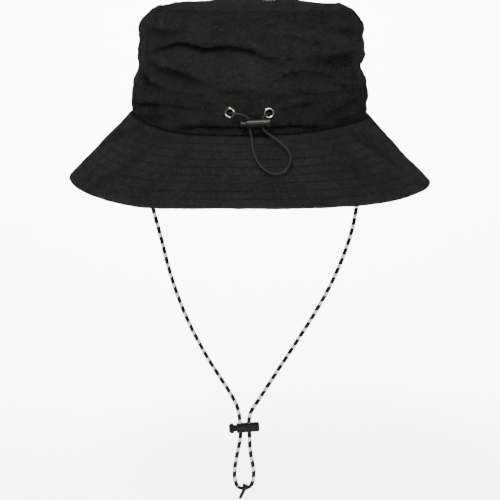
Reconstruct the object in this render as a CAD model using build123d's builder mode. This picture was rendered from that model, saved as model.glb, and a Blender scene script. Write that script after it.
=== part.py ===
from build123d import *
import os
from math import asin, atan2, cos, degrees, pi, radians, sin, sqrt, tan

# Bucket hat with an elastic drawcord at the back and a braided chin strap.
# Millimetres, +Z up, +Y towards the face, origin at the middle of the head opening
# in the plane of the brim seam.

# ---------------------------------------------------------------- driving dimensions
# Head oval: two wide side arcs and two tighter end arcs, tangent to each other.
end_radius = 76.0
radius_step = 40.0
end_centre = 24.0

cloth = 0.5
seam_gap = 0.3
layer_gap = 0.2

band_height = 24.2
sweatband_height = 24.0
sweatband_drop = 0.8

crown_height = 84.0
crown_foot_step = 0.05
crown_waist_offset = -0.5
crown_waist_height = 33.0
crown_wall_offset = -1.0
shoulder_radius = 18.0
shoulder_angle = 65.0
shoulder_chords = 5
shoulder_below_top = 22.0
top_dome_offset = -45.0
top_ridge_reach = 18.0
top_ridge_drop = 1.5

brim_slope = 46.2
brim_length = 66.5
brim_cloth = 0.6

drawcord_diameter = 1.4
drawcord_height = 11.6
eyelet_spacing = 26.6
eyelet_outer_radius = 3.9
eyelet_room = 1.0
eyelet_wall = 0.4
eyelet_flange = 0.7
washer_thickness = 0.25
washer_inset = 0.3
flange_clearance = 0.15

chin_cord_diameter = 2.6
tab_width = 8.0
tab_thickness = 4.0
tab_bottom = -9.0
tab_socket_depth = 6.0
tab_offset = -3.45
tab_corner = 1.2
socket_gap = 0.5
cord_below_tab = 4.0

knot_length = 9.0
knot_width = 7.0
tail_length = 9.5
tail_direction = (-0.37, 0, -0.93)
knot_centre = (-4.1, 0.1, -287.0)
knot_end_radius = 1.6
knot_slope_length = 1.0
knot_slope_radius = 0.85
knot_flat = 0.6

label_width = 26.0
label_height = 16.0
label_thickness = 0.3
label_margin = 2.0

cord_clearance = 0.3
bore_clearance = 0.2

# Chin lock, measured along its axis from the button's end.
chin_button_diameter = 7.8
chin_button_length = 3.7
chin_neck_length = 2.1
chin_shaft_diameter = 5.2
chin_flare_length = 2.3
chin_barrel_diameter = 7.6
chin_lock_length = 23.4
chin_hole_pitch = 6.5
chin_first_hole = 8.8
chin_travel = 1.8
chin_tilt = 4.0
chin_lock_centre = (-4.0, 0.0, -239.6)

# Drawcord lock, measured the same way. Its centre's y is counted from the back of the band.
back_button_diameter = 4.4
back_button_length = 1.2
back_neck_length = 3.0
back_shaft_diameter = 3.2
back_flare_length = 0.8
back_flare_diameter = 6.0
back_barrel_diameter = 5.8
back_lock_length = 21.2
back_hole_pitch = 8.2
back_first_hole = 6.3
back_travel = 1.8
back_tilt = 3.0
back_lock_centre = (4.3, -3.95, 5.0)

lock_end_wall = 1.6
lip_chamfer = 0.4
lip_taper = 0.3
nose_length = 0.9
nose_step = 0.6
nose_tip = 0.3
nose_flat = 0.6
shaft_end_wall = 0.8
slot_margin = 0.2
spring_wire = 0.4
spring_turns = 4

# A button's dome: share of its length, share of its radius.
dome_shape = ((0, 0.7), (0.25, 0.93), (0.45, 1.0))

# How far the cords run straight out of the locks and eyelets before they bend.
chin_cord_above_lock = 9.5
chin_cord_below_lock = 6.5
drawcord_above_lock = (3.4, 3.6)
drawcord_below_lock = 4.6
drawcord_out_of_eyelet = 2.0
corner_share = 0.45

# ---------------------------------------------------------------- the head oval
side_centre = sqrt(radius_step**2 - end_centre**2)
side_radius = end_radius + radius_step
half_width = side_radius - side_centre
half_length = end_centre + end_radius
join_angle = degrees(atan2(end_centre, side_centre))
side_sweep = 2 * join_angle
end_sweep = 180 - side_sweep

# Each arc of the oval: centre x, centre y, radius, first angle, angle swept.
head_arcs = (
    (-side_centre, 0, side_radius, -join_angle, side_sweep),
    (0, end_centre, end_radius, join_angle, end_sweep),
    (side_centre, 0, side_radius, 180 - join_angle, side_sweep),
    (0, -end_centre, end_radius, 180 + join_angle, end_sweep),
)
circumference = 2 * radians(side_sweep) * side_radius + 2 * radians(end_sweep) * end_radius
print("head opening", 2 * half_width, "x", 2 * half_length, "round", round(circumference, 1))


def upright(centre_x, centre_y, angle):
    """Plane through a vertical axis: local x points outwards at the angle, local y is up."""
    turn = radians(angle)
    return Plane(
        origin=(centre_x, centre_y, 0),
        x_dir=(cos(turn), sin(turn), 0),
        z_dir=(sin(turn), -cos(turn), 0),
    )


def oval_faces(outline):
    """Faces of one (offset, height) outline, placed at the start of each arc of the oval.

    The offset is measured outwards from the head oval, so a layer keeps its thickness
    all the way round. Gives (face, axis, arc_angle) for revolve.
    """
    faces = []
    for centre_x, centre_y, radius, start, arc_angle in head_arcs:
        with BuildSketch(upright(centre_x, centre_y, start)) as section:
            with BuildLine():
                Polyline(*[(radius + offset, height) for offset, height in outline], close=True)
            make_face()
        faces.append((section.sketch, Axis((centre_x, centre_y, 0), (0, 0, 1)), arc_angle))
    return faces


def oval_plate(offset, height):
    """Flat face of the oval at an offset from the head oval, at one height."""
    with BuildSketch(Plane.XY.offset(height)) as plate:
        with BuildLine():
            for centre_x, centre_y, radius, start, arc_angle in head_arcs:
                CenterArc((centre_x, centre_y), radius + offset, start, arc_angle)
        make_face()
    return plate.sketch


def upright_strip(offset, bottom, top, thickness=cloth):
    """Outline of an upright layer of cloth."""
    outer = offset + thickness
    return [(offset, bottom), (outer, bottom), (outer, top), (offset, top)]


# ---------------------------------------------------------------- layers round the head
# Sweatband, drawcord, eyelet washer and band lie one outside another with small gaps.
drawcord_offset = cloth + layer_gap / 2 + drawcord_diameter / 2
washer_offset = drawcord_offset + drawcord_diameter / 2 + layer_gap / 2
band_offset = washer_offset + washer_thickness + layer_gap
band_outer = band_offset + cloth
crown_foot_offset = band_offset + crown_foot_step
eyelet_hole_radius = drawcord_diameter / 2 + eyelet_room
back_of_band = -half_length - band_outer

# ---------------------------------------------------------------- sweatband and casing
with BuildPart() as sweatband:
    for face, axis, arc_angle in oval_faces(upright_strip(0, sweatband_drop, sweatband_height)):
        revolve(face, axis=axis, revolution_arc=arc_angle)
sweatband.part.label = "sweatband"

eyelet_angle = degrees(asin(eyelet_spacing / 2 / (end_radius + band_outer)))
eyelet_places = {"left": 270 - eyelet_angle, "right": 270 + eyelet_angle}


def eyelet_plane(angle, offset):
    """Plane square to an eyelet's axis, at an offset from the head oval, facing outwards."""
    turn = radians(angle)
    reach = end_radius + offset
    return Plane(
        origin=(reach * cos(turn), -end_centre + reach * sin(turn), drawcord_height),
        x_dir=(-sin(turn), cos(turn), 0),
        z_dir=(cos(turn), sin(turn), 0),
    )


with BuildPart() as casing_band:
    for face, axis, arc_angle in oval_faces(upright_strip(band_offset, layer_gap / 2, band_height)):
        revolve(face, axis=axis, revolution_arc=arc_angle)
    for angle in eyelet_places.values():
        with BuildSketch(eyelet_plane(angle, band_offset)):
            Circle(eyelet_hole_radius + eyelet_wall + layer_gap / 2)
        extrude(amount=4 * cloth, both=True, mode=Mode.SUBTRACT)
casing_band.part.label = "casing_band"

# ---------------------------------------------------------------- crown
shoulder_height = crown_height - shoulder_below_top


def crown_line(inset):
    """Line of a crown layer from the band seam to the top seam, as (offset, height) points.

    The shoulder is a round of many short chords about one centre, so layers stay parallel.
    """
    points = [
        (crown_foot_offset - inset, band_height + seam_gap),
        (crown_waist_offset - inset, crown_waist_height),
        (crown_wall_offset - inset, shoulder_height),
    ]
    centre = crown_wall_offset - shoulder_radius
    reach = shoulder_radius - inset
    for step in range(1, shoulder_chords + 1):
        turn = radians(shoulder_angle * step / shoulder_chords)
        points.append((centre + reach * cos(turn), shoulder_height + reach * sin(turn)))
    return points


def crown_layer(inset):
    return crown_line(inset) + crown_line(inset + cloth)[::-1]


lining_inset = cloth + seam_gap


def top_layer(inset):
    """Outline of the shallow dome of a top layer, outside its flat middle."""
    seam_offset, seam_height = crown_line(inset)[-1]
    clear_of_side = seam_gap if inset else 0
    line = [
        (seam_offset - clear_of_side, seam_height + seam_gap + cloth),
        (seam_offset - top_ridge_reach, crown_height - top_ridge_drop - inset),
        (top_dome_offset, crown_height - inset),
    ]
    under = [(offset, height - cloth) for offset, height in line[::-1]]
    return line + under


with BuildPart() as crown_side:
    for face, axis, arc_angle in oval_faces(crown_layer(0)):
        revolve(face, axis=axis, revolution_arc=arc_angle)
crown_side.part.label = "crown_side"

with BuildPart() as crown_side_lining:
    for face, axis, arc_angle in oval_faces(crown_layer(lining_inset)):
        revolve(face, axis=axis, revolution_arc=arc_angle)
crown_side_lining.part.label = "crown_side_lining"

with BuildPart() as crown_top:
    for face, axis, arc_angle in oval_faces(top_layer(0)):
        revolve(face, axis=axis, revolution_arc=arc_angle)
    extrude(oval_plate(top_dome_offset, crown_height), amount=-cloth)
crown_top.part.label = "crown_top"

with BuildPart() as crown_top_lining:
    for face, axis, arc_angle in oval_faces(top_layer(lining_inset)):
        revolve(face, axis=axis, revolution_arc=arc_angle)
    extrude(oval_plate(top_dome_offset, crown_height - lining_inset), amount=-cloth)
crown_top_lining.part.label = "crown_top_lining"

# ---------------------------------------------------------------- brim
slope_out = cos(radians(brim_slope))
slope_down = sin(radians(brim_slope))
brim_start = (band_outer, -layer_gap)


def brim_layer(depth):
    """Outline of one brim layer, its upper face at a depth under the brim's upper face."""
    corners = []
    for along, below in ((0, 0), (brim_length, 0), (brim_length, brim_cloth), (0, brim_cloth)):
        lower = depth + below
        offset = brim_start[0] + along * slope_out - lower * slope_down
        height = brim_start[1] - along * slope_down - lower * slope_out
        corners.append((offset, height))
    return corners


brim_step = brim_cloth + layer_gap

with BuildPart() as brim_upper:
    for face, axis, arc_angle in oval_faces(brim_layer(0)):
        revolve(face, axis=axis, revolution_arc=arc_angle)
brim_upper.part.label = "brim_upper"

with BuildPart() as brim_interlining:
    for face, axis, arc_angle in oval_faces(brim_layer(brim_step)):
        revolve(face, axis=axis, revolution_arc=arc_angle)
brim_interlining.part.label = "brim_interlining"

with BuildPart() as brim_under:
    for face, axis, arc_angle in oval_faces(brim_layer(2 * brim_step)):
        revolve(face, axis=axis, revolution_arc=arc_angle)
brim_under.part.label = "brim_under"

# ---------------------------------------------------------------- eyelets and washers
flange_offset = band_outer + flange_clearance
washer_inner = eyelet_hole_radius + eyelet_wall + layer_gap / 2
eyelets = {}
washers = {}
for side, angle in eyelet_places.items():
    with BuildPart() as eyelet:
        with BuildSketch(eyelet_plane(angle, flange_offset)):
            Circle(eyelet_outer_radius)
        extrude(amount=eyelet_flange)
        fillet(eyelet.edges().filter_by(GeomType.CIRCLE).sort_by(SortBy.DISTANCE)[-1], 0.5 * eyelet_flange)
        with BuildSketch(eyelet_plane(angle, washer_offset)):
            Circle(eyelet_hole_radius + eyelet_wall)
        extrude(amount=flange_offset - washer_offset)
        with BuildSketch(eyelet_plane(angle, washer_offset)):
            Circle(eyelet_hole_radius)
        extrude(amount=2 * (flange_offset + eyelet_flange - washer_offset), both=True, mode=Mode.SUBTRACT)
    eyelet.part.label = "eyelet_" + side
    eyelets[side] = eyelet

    with BuildPart() as washer:
        with BuildSketch(eyelet_plane(angle, washer_offset)):
            Circle(eyelet_outer_radius - washer_inset)
            Circle(washer_inner, mode=Mode.SUBTRACT)
        extrude(amount=washer_thickness)
    washer.part.label = "eyelet_washer_" + side
    washers[side] = washer

# ---------------------------------------------------------------- elastic in the casing
with BuildPart() as drawcord_in_casing:
    for centre_x, centre_y, radius, start, arc_angle in head_arcs:
        spans = [(start, arc_angle)]
        if centre_y < 0:
            spans = [
                (start, eyelet_places["left"] - start),
                (eyelet_places["right"], start + arc_angle - eyelet_places["right"]),
            ]
        for first, span in spans:
            with BuildSketch(upright(centre_x, centre_y, first)):
                with Locations((radius + drawcord_offset, drawcord_height)):
                    Circle(drawcord_diameter / 2)
            revolve(axis=Axis((centre_x, centre_y, 0), (0, 0, 1)), revolution_arc=span)
drawcord_in_casing.part.label = "drawcord_in_casing"


# ---------------------------------------------------------------- cord locks
def lock_plane(centre, length, tilt):
    """Plane of a lock: origin at the button's end, local x along the lock, local y up its holes."""
    turn = radians(tilt)
    along = (cos(turn), 0, sin(turn))
    start = [middle - direction * length / 2 for middle, direction in zip(centre, along)]
    return Plane(origin=start, x_dir=along, z_dir=(0, -1, 0))


def hole_plane(plane):
    """The same place, seen down the lock's cord holes."""
    return Plane(origin=plane.origin, x_dir=plane.x_dir, z_dir=plane.y_dir)


def behind_band(x, y, z):
    """Point whose y is counted from the back of the casing band."""
    return (x, back_of_band + y, z)


def barrel_outline(flare_start, flare_length, length, flare_radius, radius, bore_radius):
    """Half section of a barrel with a raised rim, a blind bore and a rounded closed end."""
    bore_end = length - lock_end_wall
    flare_end = flare_start + flare_length
    return [
        (flare_start, bore_radius),
        (flare_start, flare_radius - lip_chamfer),
        (flare_start + lip_chamfer, flare_radius),
        (flare_end - lip_taper, flare_radius),
        (flare_end, radius),
        (length - nose_length, radius),
        (length - nose_tip, radius - nose_step),
        (length, radius * nose_flat),
        (length, 0),
        (bore_end, 0),
        (bore_end, bore_radius),
    ]


def plunger_outline(head_length, head_radius, shaft_radius, end):
    """Half section of a plunger: a domed button on a round shaft."""
    dome = [(along * head_length, across * head_radius) for along, across in dome_shape]
    return [
        (0, 0),
        *dome,
        (head_length, head_radius),
        (head_length, shaft_radius),
        (end, shaft_radius),
        (end, 0),
    ]


def slot_span(hole, cord, travel):
    """First and last place of the slot that clears the cord over the plunger's travel."""
    return hole - cord / 2 - travel - slot_margin, hole + cord / 2 + slot_margin


chin_plane = lock_plane(chin_lock_centre, chin_lock_length, chin_tilt)
back_plane = lock_plane(behind_band(*back_lock_centre), back_lock_length, back_tilt)
chin_holes = (chin_first_hole, chin_first_hole + chin_hole_pitch)
back_holes = (back_first_hole, back_first_hole + back_hole_pitch)
chin_flare_start = chin_button_length + chin_neck_length
back_flare_start = back_button_length + back_neck_length
chin_bore = chin_shaft_diameter / 2 + bore_clearance
back_bore = back_shaft_diameter / 2 + bore_clearance
chin_shaft_end = slot_span(chin_holes[1], chin_cord_diameter, chin_travel)[1] + shaft_end_wall
back_shaft_end = slot_span(back_holes[1], drawcord_diameter, back_travel)[1] + shaft_end_wall

with BuildPart() as chin_lock_barrel:
    with BuildSketch(chin_plane):
        with BuildLine():
            Polyline(
                *barrel_outline(
                    chin_flare_start, chin_flare_length, chin_lock_length,
                    chin_button_diameter / 2, chin_barrel_diameter / 2, chin_bore,
                ),
                close=True,
            )
        make_face()
    revolve(axis=Axis(chin_plane.origin, chin_plane.x_dir))
    with BuildSketch(hole_plane(chin_plane)):
        with Locations(*[(place, 0) for place in chin_holes]):
            Circle(chin_cord_diameter / 2 + cord_clearance)
    extrude(amount=chin_button_diameter, both=True, mode=Mode.SUBTRACT)
chin_lock_barrel.part.label = "chin_lock_barrel"

with BuildPart() as chin_lock_plunger:
    with BuildSketch(chin_plane):
        with BuildLine():
            Polyline(
                *plunger_outline(
                    chin_button_length, chin_button_diameter / 2,
                    chin_shaft_diameter / 2, chin_shaft_end,
                ),
                close=True,
            )
        make_face()
    revolve(axis=Axis(chin_plane.origin, chin_plane.x_dir))
    with BuildSketch(hole_plane(chin_plane)):
        for place in chin_holes:
            first, last = slot_span(place, chin_cord_diameter, chin_travel)
            with Locations(((first + last) / 2, 0)):
                Rectangle(last - first, chin_cord_diameter + 2 * slot_margin)
    extrude(amount=chin_button_diameter, both=True, mode=Mode.SUBTRACT)
chin_lock_plunger.part.label = "chin_lock_plunger"

with BuildPart() as drawcord_lock_barrel:
    with BuildSketch(back_plane):
        with BuildLine():
            Polyline(
                *barrel_outline(
                    back_flare_start, back_flare_length, back_lock_length,
                    back_flare_diameter / 2, back_barrel_diameter / 2, back_bore,
                ),
                close=True,
            )
        make_face()
    revolve(axis=Axis(back_plane.origin, back_plane.x_dir))
    with BuildSketch(hole_plane(back_plane)):
        with Locations(*[(place, 0) for place in back_holes]):
            Circle(drawcord_diameter / 2 + cord_clearance)
    extrude(amount=back_barrel_diameter, both=True, mode=Mode.SUBTRACT)
drawcord_lock_barrel.part.label = "drawcord_lock_barrel"

with BuildPart() as drawcord_lock_plunger:
    with BuildSketch(back_plane):
        with BuildLine():
            Polyline(
                *plunger_outline(
                    back_button_length, back_button_diameter / 2,
                    back_shaft_diameter / 2, back_shaft_end,
                ),
                close=True,
            )
        make_face()
    revolve(axis=Axis(back_plane.origin, back_plane.x_dir))
    with BuildSketch(hole_plane(back_plane)):
        for place in back_holes:
            first, last = slot_span(place, drawcord_diameter, back_travel)
            with Locations(((first + last) / 2, 0)):
                Rectangle(last - first, drawcord_diameter + 2 * slot_margin)
    extrude(amount=back_barrel_diameter, both=True, mode=Mode.SUBTRACT)
drawcord_lock_plunger.part.label = "drawcord_lock_plunger"

springs = {}
for name, plane, bore, shaft_end, length in (
    ("chin_lock_spring", chin_plane, chin_bore, chin_shaft_end, chin_lock_length),
    ("drawcord_lock_spring", back_plane, back_bore, back_shaft_end, back_lock_length),
):
    room = length - lock_end_wall - shaft_end - 2 * layer_gap - spring_wire
    coil_radius = bore - spring_wire / 2 - bore_clearance
    coil_start = plane.origin + plane.x_dir * (shaft_end + layer_gap + spring_wire / 2)
    with BuildPart() as spring:
        with BuildLine() as coil:
            Helix(room / spring_turns, room, coil_radius, center=coil_start, direction=plane.x_dir)
        with BuildSketch(Plane(origin=coil.line @ 0, z_dir=coil.line % 0)):
            Circle(spring_wire / 2)
        sweep(path=coil.line, is_frenet=True)
    spring.part.label = name
    springs[name] = spring


# ---------------------------------------------------------------- cords
def corner_radii(points):
    """Arc at each corner: a share of the shorter of its two runs, over tan(half the turn)."""
    radii = []
    for before, corner, after in zip(points, points[1:], points[2:]):
        run_in = Vector(*corner) - Vector(*before)
        run_out = Vector(*after) - Vector(*corner)
        half_turn = radians(run_in.get_angle(run_out)) / 2
        radii.append(corner_share * min(run_in.length, run_out.length) / tan(half_turn))
    return radii


def on_lock(plane, place, height=0.0):
    """Point on a lock's cord hole, at a height along the hole."""
    spot = plane.origin + plane.x_dir * place + plane.y_dir * height
    return (spot.X, spot.Y, spot.Z)


def in_eyelet(angle, offset):
    spot = eyelet_plane(angle, offset).origin
    return (spot.X, spot.Y, spot.Z)


tab_centre = half_width + band_offset + tab_offset
socket_top = tab_bottom + tab_socket_depth - socket_gap

chin_left_points = [
    (-tab_centre, 0, socket_top),
    (-tab_centre, 0, tab_bottom - cord_below_tab),
    (-81.0, 1.0, -34.0),
    (-73.6, 0.5, -65.0),
    (-65.2, -0.5, -96.0),
    (-59.8, -1.0, -120.0),
    (-48.5, -0.5, -152.5),
    (-32.5, 0.5, -184.5),
    (-17.0, 0.6, -208.5),
    (-9.6, 0.3, -221.5),
    on_lock(chin_plane, chin_holes[0], chin_cord_above_lock),
    on_lock(chin_plane, chin_holes[0]),
]
chin_right_points = [
    (tab_centre, 0, socket_top),
    (tab_centre, 0, tab_bottom - cord_below_tab),
    (83.6, 1.0, -36.0),
    (80.6, 0.6, -68.0),
    (75.8, -0.4, -92.5),
    (63.5, -1.2, -124.0),
    (49.5, -0.6, -150.0),
    (33.5, 0.4, -176.0),
    (18.5, 0.7, -199.5),
    (6.6, 0.4, -218.5),
    on_lock(chin_plane, chin_holes[1], chin_cord_above_lock),
    on_lock(chin_plane, chin_holes[1]),
]
chin_end_left_points = [
    on_lock(chin_plane, chin_holes[0]),
    on_lock(chin_plane, chin_holes[0], -chin_cord_below_lock),
    (-9.3, -0.2, -259.5),
    (-11.6, 0.2, -272.5),
    (-11.4, 0.6, -283.0),
    (-9.0, 0.2, -286.8),
]
chin_end_right_points = [
    on_lock(chin_plane, chin_holes[1]),
    on_lock(chin_plane, chin_holes[1], -chin_cord_below_lock),
    (0.4, 0.3, -259.0),
    (3.2, -0.2, -271.5),
    (3.2, -0.5, -282.0),
    (0.8, 0.0, -286.2),
]
drawcord_loop_points = [
    in_eyelet(eyelet_places["left"], washer_offset + layer_gap),
    in_eyelet(eyelet_places["left"], flange_offset + drawcord_out_of_eyelet),
    behind_band(-11.2, -3.55, 11.9),
    behind_band(-7.4, -4.15, 11.6),
    behind_band(-3.4, -4.05, 10.6),
    on_lock(back_plane, back_holes[0], drawcord_above_lock[0]),
    on_lock(back_plane, back_holes[0], -drawcord_below_lock),
    behind_band(1.9, -9.95, -5.4),
    behind_band(2.3, -15.55, -11.8),
    behind_band(4.4, -20.55, -17.8),
    behind_band(9.4, -25.75, -24.0),
    behind_band(17.6, -28.55, -27.4),
    behind_band(25.6, -24.15, -24.0),
    behind_band(28.6, -15.95, -17.0),
    behind_band(25.0, -10.35, -10.6),
    behind_band(17.2, -7.15, -4.4),
    on_lock(back_plane, back_holes[1], -drawcord_below_lock),
    on_lock(back_plane, back_holes[1], drawcord_above_lock[1]),
    behind_band(11.6, -3.45, 11.1),
    in_eyelet(eyelet_places["right"], flange_offset + drawcord_out_of_eyelet),
    in_eyelet(eyelet_places["right"], washer_offset + layer_gap),
]

cords = {}
for name, points, diameter in (
    ("chin_cord_left", chin_left_points, chin_cord_diameter),
    ("chin_cord_right", chin_right_points, chin_cord_diameter),
    ("chin_cord_end_left", chin_end_left_points, chin_cord_diameter),
    ("chin_cord_end_right", chin_end_right_points, chin_cord_diameter),
    ("drawcord_loop", drawcord_loop_points, drawcord_diameter),
):
    radii = corner_radii(points)
    with BuildPart() as cord:
        with BuildLine() as route:
            FilletPolyline(*points, radius=radii)
        with BuildSketch(Plane(origin=route.line @ 0, z_dir=route.line % 0)):
            Circle(diameter / 2)
        sweep(path=route.line)
    cord.part.label = name
    cords[name] = cord
    length = sum(edge.length for edge in route.edges())
    expected = pi * diameter**2 / 4 * length
    print(name, "length", round(length, 1), "volume ratio", round(cord.part.volume / expected, 4))
    print("  radii", [round(radius, 1) for radius in radii])

# ---------------------------------------------------------------- chin tabs, knot, label
tabs = {}
for side, direction in (("left", -1), ("right", 1)):
    with BuildPart() as tab:
        with BuildSketch(Plane.XY.offset(tab_bottom)):
            with Locations((direction * tab_centre, 0)):
                RectangleRounded(tab_thickness, tab_width, tab_corner)
        extrude(amount=sweatband_drop - seam_gap - tab_bottom)
        with BuildSketch(Plane.XY.offset(tab_bottom)):
            with Locations((direction * tab_centre, 0)):
                Circle(chin_cord_diameter / 2 + cord_clearance / 2)
        extrude(amount=tab_socket_depth, mode=Mode.SUBTRACT)
    tab.part.label = "chin_cord_tab_" + side
    tabs[side] = tab

knot_half = knot_width / 2
knot_end = knot_length / 2 - knot_end_radius
knot_slope = knot_end - knot_slope_length
knot_outline = [
    (-knot_end, 0),
    (-knot_end, knot_end_radius),
    (-knot_slope, knot_slope_radius * knot_half),
    (-knot_flat, knot_half),
    (knot_flat, knot_half),
    (knot_slope, knot_slope_radius * knot_half),
    (knot_end, knot_end_radius),
    (knot_end, 0),
]
with BuildPart() as chin_cord_knot:
    with BuildSketch(Plane(origin=knot_centre, x_dir=(1, 0, 0), z_dir=(0, -1, 0))):
        with BuildLine():
            Polyline(*knot_outline, close=True)
        make_face()
    revolve(axis=Axis(knot_centre, (1, 0, 0)))
    tail_plane = Plane(origin=knot_centre, x_dir=(0, 1, 0), z_dir=tail_direction)
    with BuildSketch(tail_plane):
        Circle(chin_cord_diameter / 2)
    extrude(amount=tail_length)
chin_cord_knot.part.label = "chin_cord_knot"

label_bottom = sweatband_height - label_height - label_margin
label_sweep = degrees(label_width / end_radius)
with BuildPart() as size_label:
    with BuildSketch(upright(0, -end_centre, 270 - label_sweep / 2)):
        with Locations((end_radius - label_thickness / 2 - layer_gap, label_bottom + label_height / 2)):
            Rectangle(label_thickness, label_height)
    revolve(axis=Axis((0, -end_centre, 0), (0, 0, 1)), revolution_arc=label_sweep)
size_label.part.label = "size_label"

# ---------------------------------------------------------------- write the pieces
pieces = [
    sweatband, casing_band, crown_side, crown_side_lining, crown_top, crown_top_lining,
    brim_upper, brim_interlining, brim_under, drawcord_in_casing, size_label, chin_cord_knot,
    chin_lock_barrel, chin_lock_plunger, drawcord_lock_barrel, drawcord_lock_plunger,
]
for group in (eyelets, washers, springs, cords, tabs):
    pieces.extend(group.values())
os.makedirs("parts", exist_ok=True)
for piece in pieces:
    export_step(piece.part, "parts/" + piece.part.label + ".step")
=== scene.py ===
# %% [markdown]
# # A bucket hat with a drawcord and a chin strap
# The hat is sewn from black crinkled nylon: a top panel, a gathered side panel, a casing band
# with an elastic drawcord, and a sloping brim with rows of stitching. A braided chin strap
# hangs from it. The rigid model gives the frame, and every cloth part is shaped here.

# %% Load the frame
import math
import bmesh
import bpy
import numpy as np
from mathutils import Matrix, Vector


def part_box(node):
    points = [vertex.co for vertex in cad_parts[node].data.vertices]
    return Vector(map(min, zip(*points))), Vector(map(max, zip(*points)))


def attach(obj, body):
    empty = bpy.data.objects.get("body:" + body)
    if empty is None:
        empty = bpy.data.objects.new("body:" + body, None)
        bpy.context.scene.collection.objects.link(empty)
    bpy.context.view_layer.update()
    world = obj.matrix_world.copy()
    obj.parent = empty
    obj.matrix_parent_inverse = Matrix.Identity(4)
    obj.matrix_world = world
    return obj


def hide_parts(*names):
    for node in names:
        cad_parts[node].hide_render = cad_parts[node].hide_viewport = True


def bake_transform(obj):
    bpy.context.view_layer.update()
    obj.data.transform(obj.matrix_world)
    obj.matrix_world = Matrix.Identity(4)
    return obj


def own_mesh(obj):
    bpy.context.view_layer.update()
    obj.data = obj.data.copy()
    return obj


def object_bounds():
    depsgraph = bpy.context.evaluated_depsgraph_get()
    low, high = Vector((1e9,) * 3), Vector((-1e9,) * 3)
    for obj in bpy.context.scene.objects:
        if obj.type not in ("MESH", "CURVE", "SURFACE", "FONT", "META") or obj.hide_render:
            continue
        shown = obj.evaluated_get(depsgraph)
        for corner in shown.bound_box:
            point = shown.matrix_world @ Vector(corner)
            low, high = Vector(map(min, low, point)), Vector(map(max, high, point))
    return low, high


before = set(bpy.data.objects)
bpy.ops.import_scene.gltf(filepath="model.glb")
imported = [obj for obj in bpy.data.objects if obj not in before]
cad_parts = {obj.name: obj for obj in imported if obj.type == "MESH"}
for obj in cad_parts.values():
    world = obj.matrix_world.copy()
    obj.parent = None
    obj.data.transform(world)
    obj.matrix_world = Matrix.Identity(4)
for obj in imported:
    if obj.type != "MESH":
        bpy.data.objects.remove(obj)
cad_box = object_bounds()
print("whole object, metres:", [list(map(lambda value: round(value, 4), corner)) for corner in cad_box])

MM = 0.001

# %% [markdown]
# ## Camera and light
# A long lens a little above the brim keeps the proportions calm. One large softbox above and
# in front models the folds, and a smaller one fills the right. The paper behind the hat has a
# light of its own, so that black cloth and pale paper can
# both be exposed well.

# %% Camera and light
CAMERA_DISTANCE = 1.300
CAMERA_HEIGHT = 0.130
CAMERA_PITCH = math.radians(10.1)
LENS_MM = 126.5

camera_data = bpy.data.cameras.new("camera")
camera_data.lens = LENS_MM
camera_data.sensor_width = 36.0
camera_data.clip_end = 100.0
camera = bpy.data.objects.new("camera", camera_data)
camera.location = (0.0004, -CAMERA_DISTANCE, CAMERA_HEIGHT)
camera.rotation_euler = (math.pi / 2 - CAMERA_PITCH, 0.0, 0.0)
bpy.context.scene.collection.objects.link(camera)
bpy.context.scene.camera = camera

HAT_MIDDLE = (0.0, 0.0, 0.02)


def add_light(name, place, aim, width, height, power):
    """Area light at a place, turned to face the point it aims at."""
    data = bpy.data.lights.new(name, "AREA")
    data.shape = "RECTANGLE"
    data.size = width
    data.size_y = height
    data.energy = power
    light = bpy.data.objects.new(name, data)
    light.location = place
    light.rotation_euler = (Vector(aim) - Vector(place)).to_track_quat("-Z", "Y").to_euler()
    bpy.context.scene.collection.objects.link(light)
    return light


add_light("key_softbox", (-0.35, -1.05, 1.6), HAT_MIDDLE, 0.7, 0.5, 43.0)
add_light("fill_softbox", (0.5, -1.9, 0.55), HAT_MIDDLE, 0.9, 0.7, 17.0)
paper_light = add_light("paper_light", (0.0, 0.15, 1.9), (0.0, 1.15, 0.0), 1.0, 0.5, 150.0)
paper_light.data.spread = math.radians(100.0)

world = bpy.data.worlds.new("studio")
world.use_nodes = True
world.node_tree.nodes["Background"].inputs["Color"].default_value = (1.0, 1.0, 1.0, 1.0)
world.node_tree.nodes["Background"].inputs["Strength"].default_value = 0.10
bpy.context.scene.world = world

# %% [markdown]
# ## Putting a worked-out surface into a mesh
# Nearly every piece is a grid: rows of points that go round the hat or along a cord. The
# points are computed as whole arrays, and the faces follow from their row and column numbers.
# Each cloth keeps a map of its own length and width in metres, so a weave has its real size.


# %% Mesh helpers
def finish_object(name, mesh, material):
    """Object of a mesh, shaded smooth, with one material."""
    mesh.validate()
    mesh.shade_smooth()
    piece = bpy.data.objects.new(name, mesh)
    bpy.context.scene.collection.objects.link(piece)
    if material is not None:
        mesh.materials.append(material)
    return piece


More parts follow.
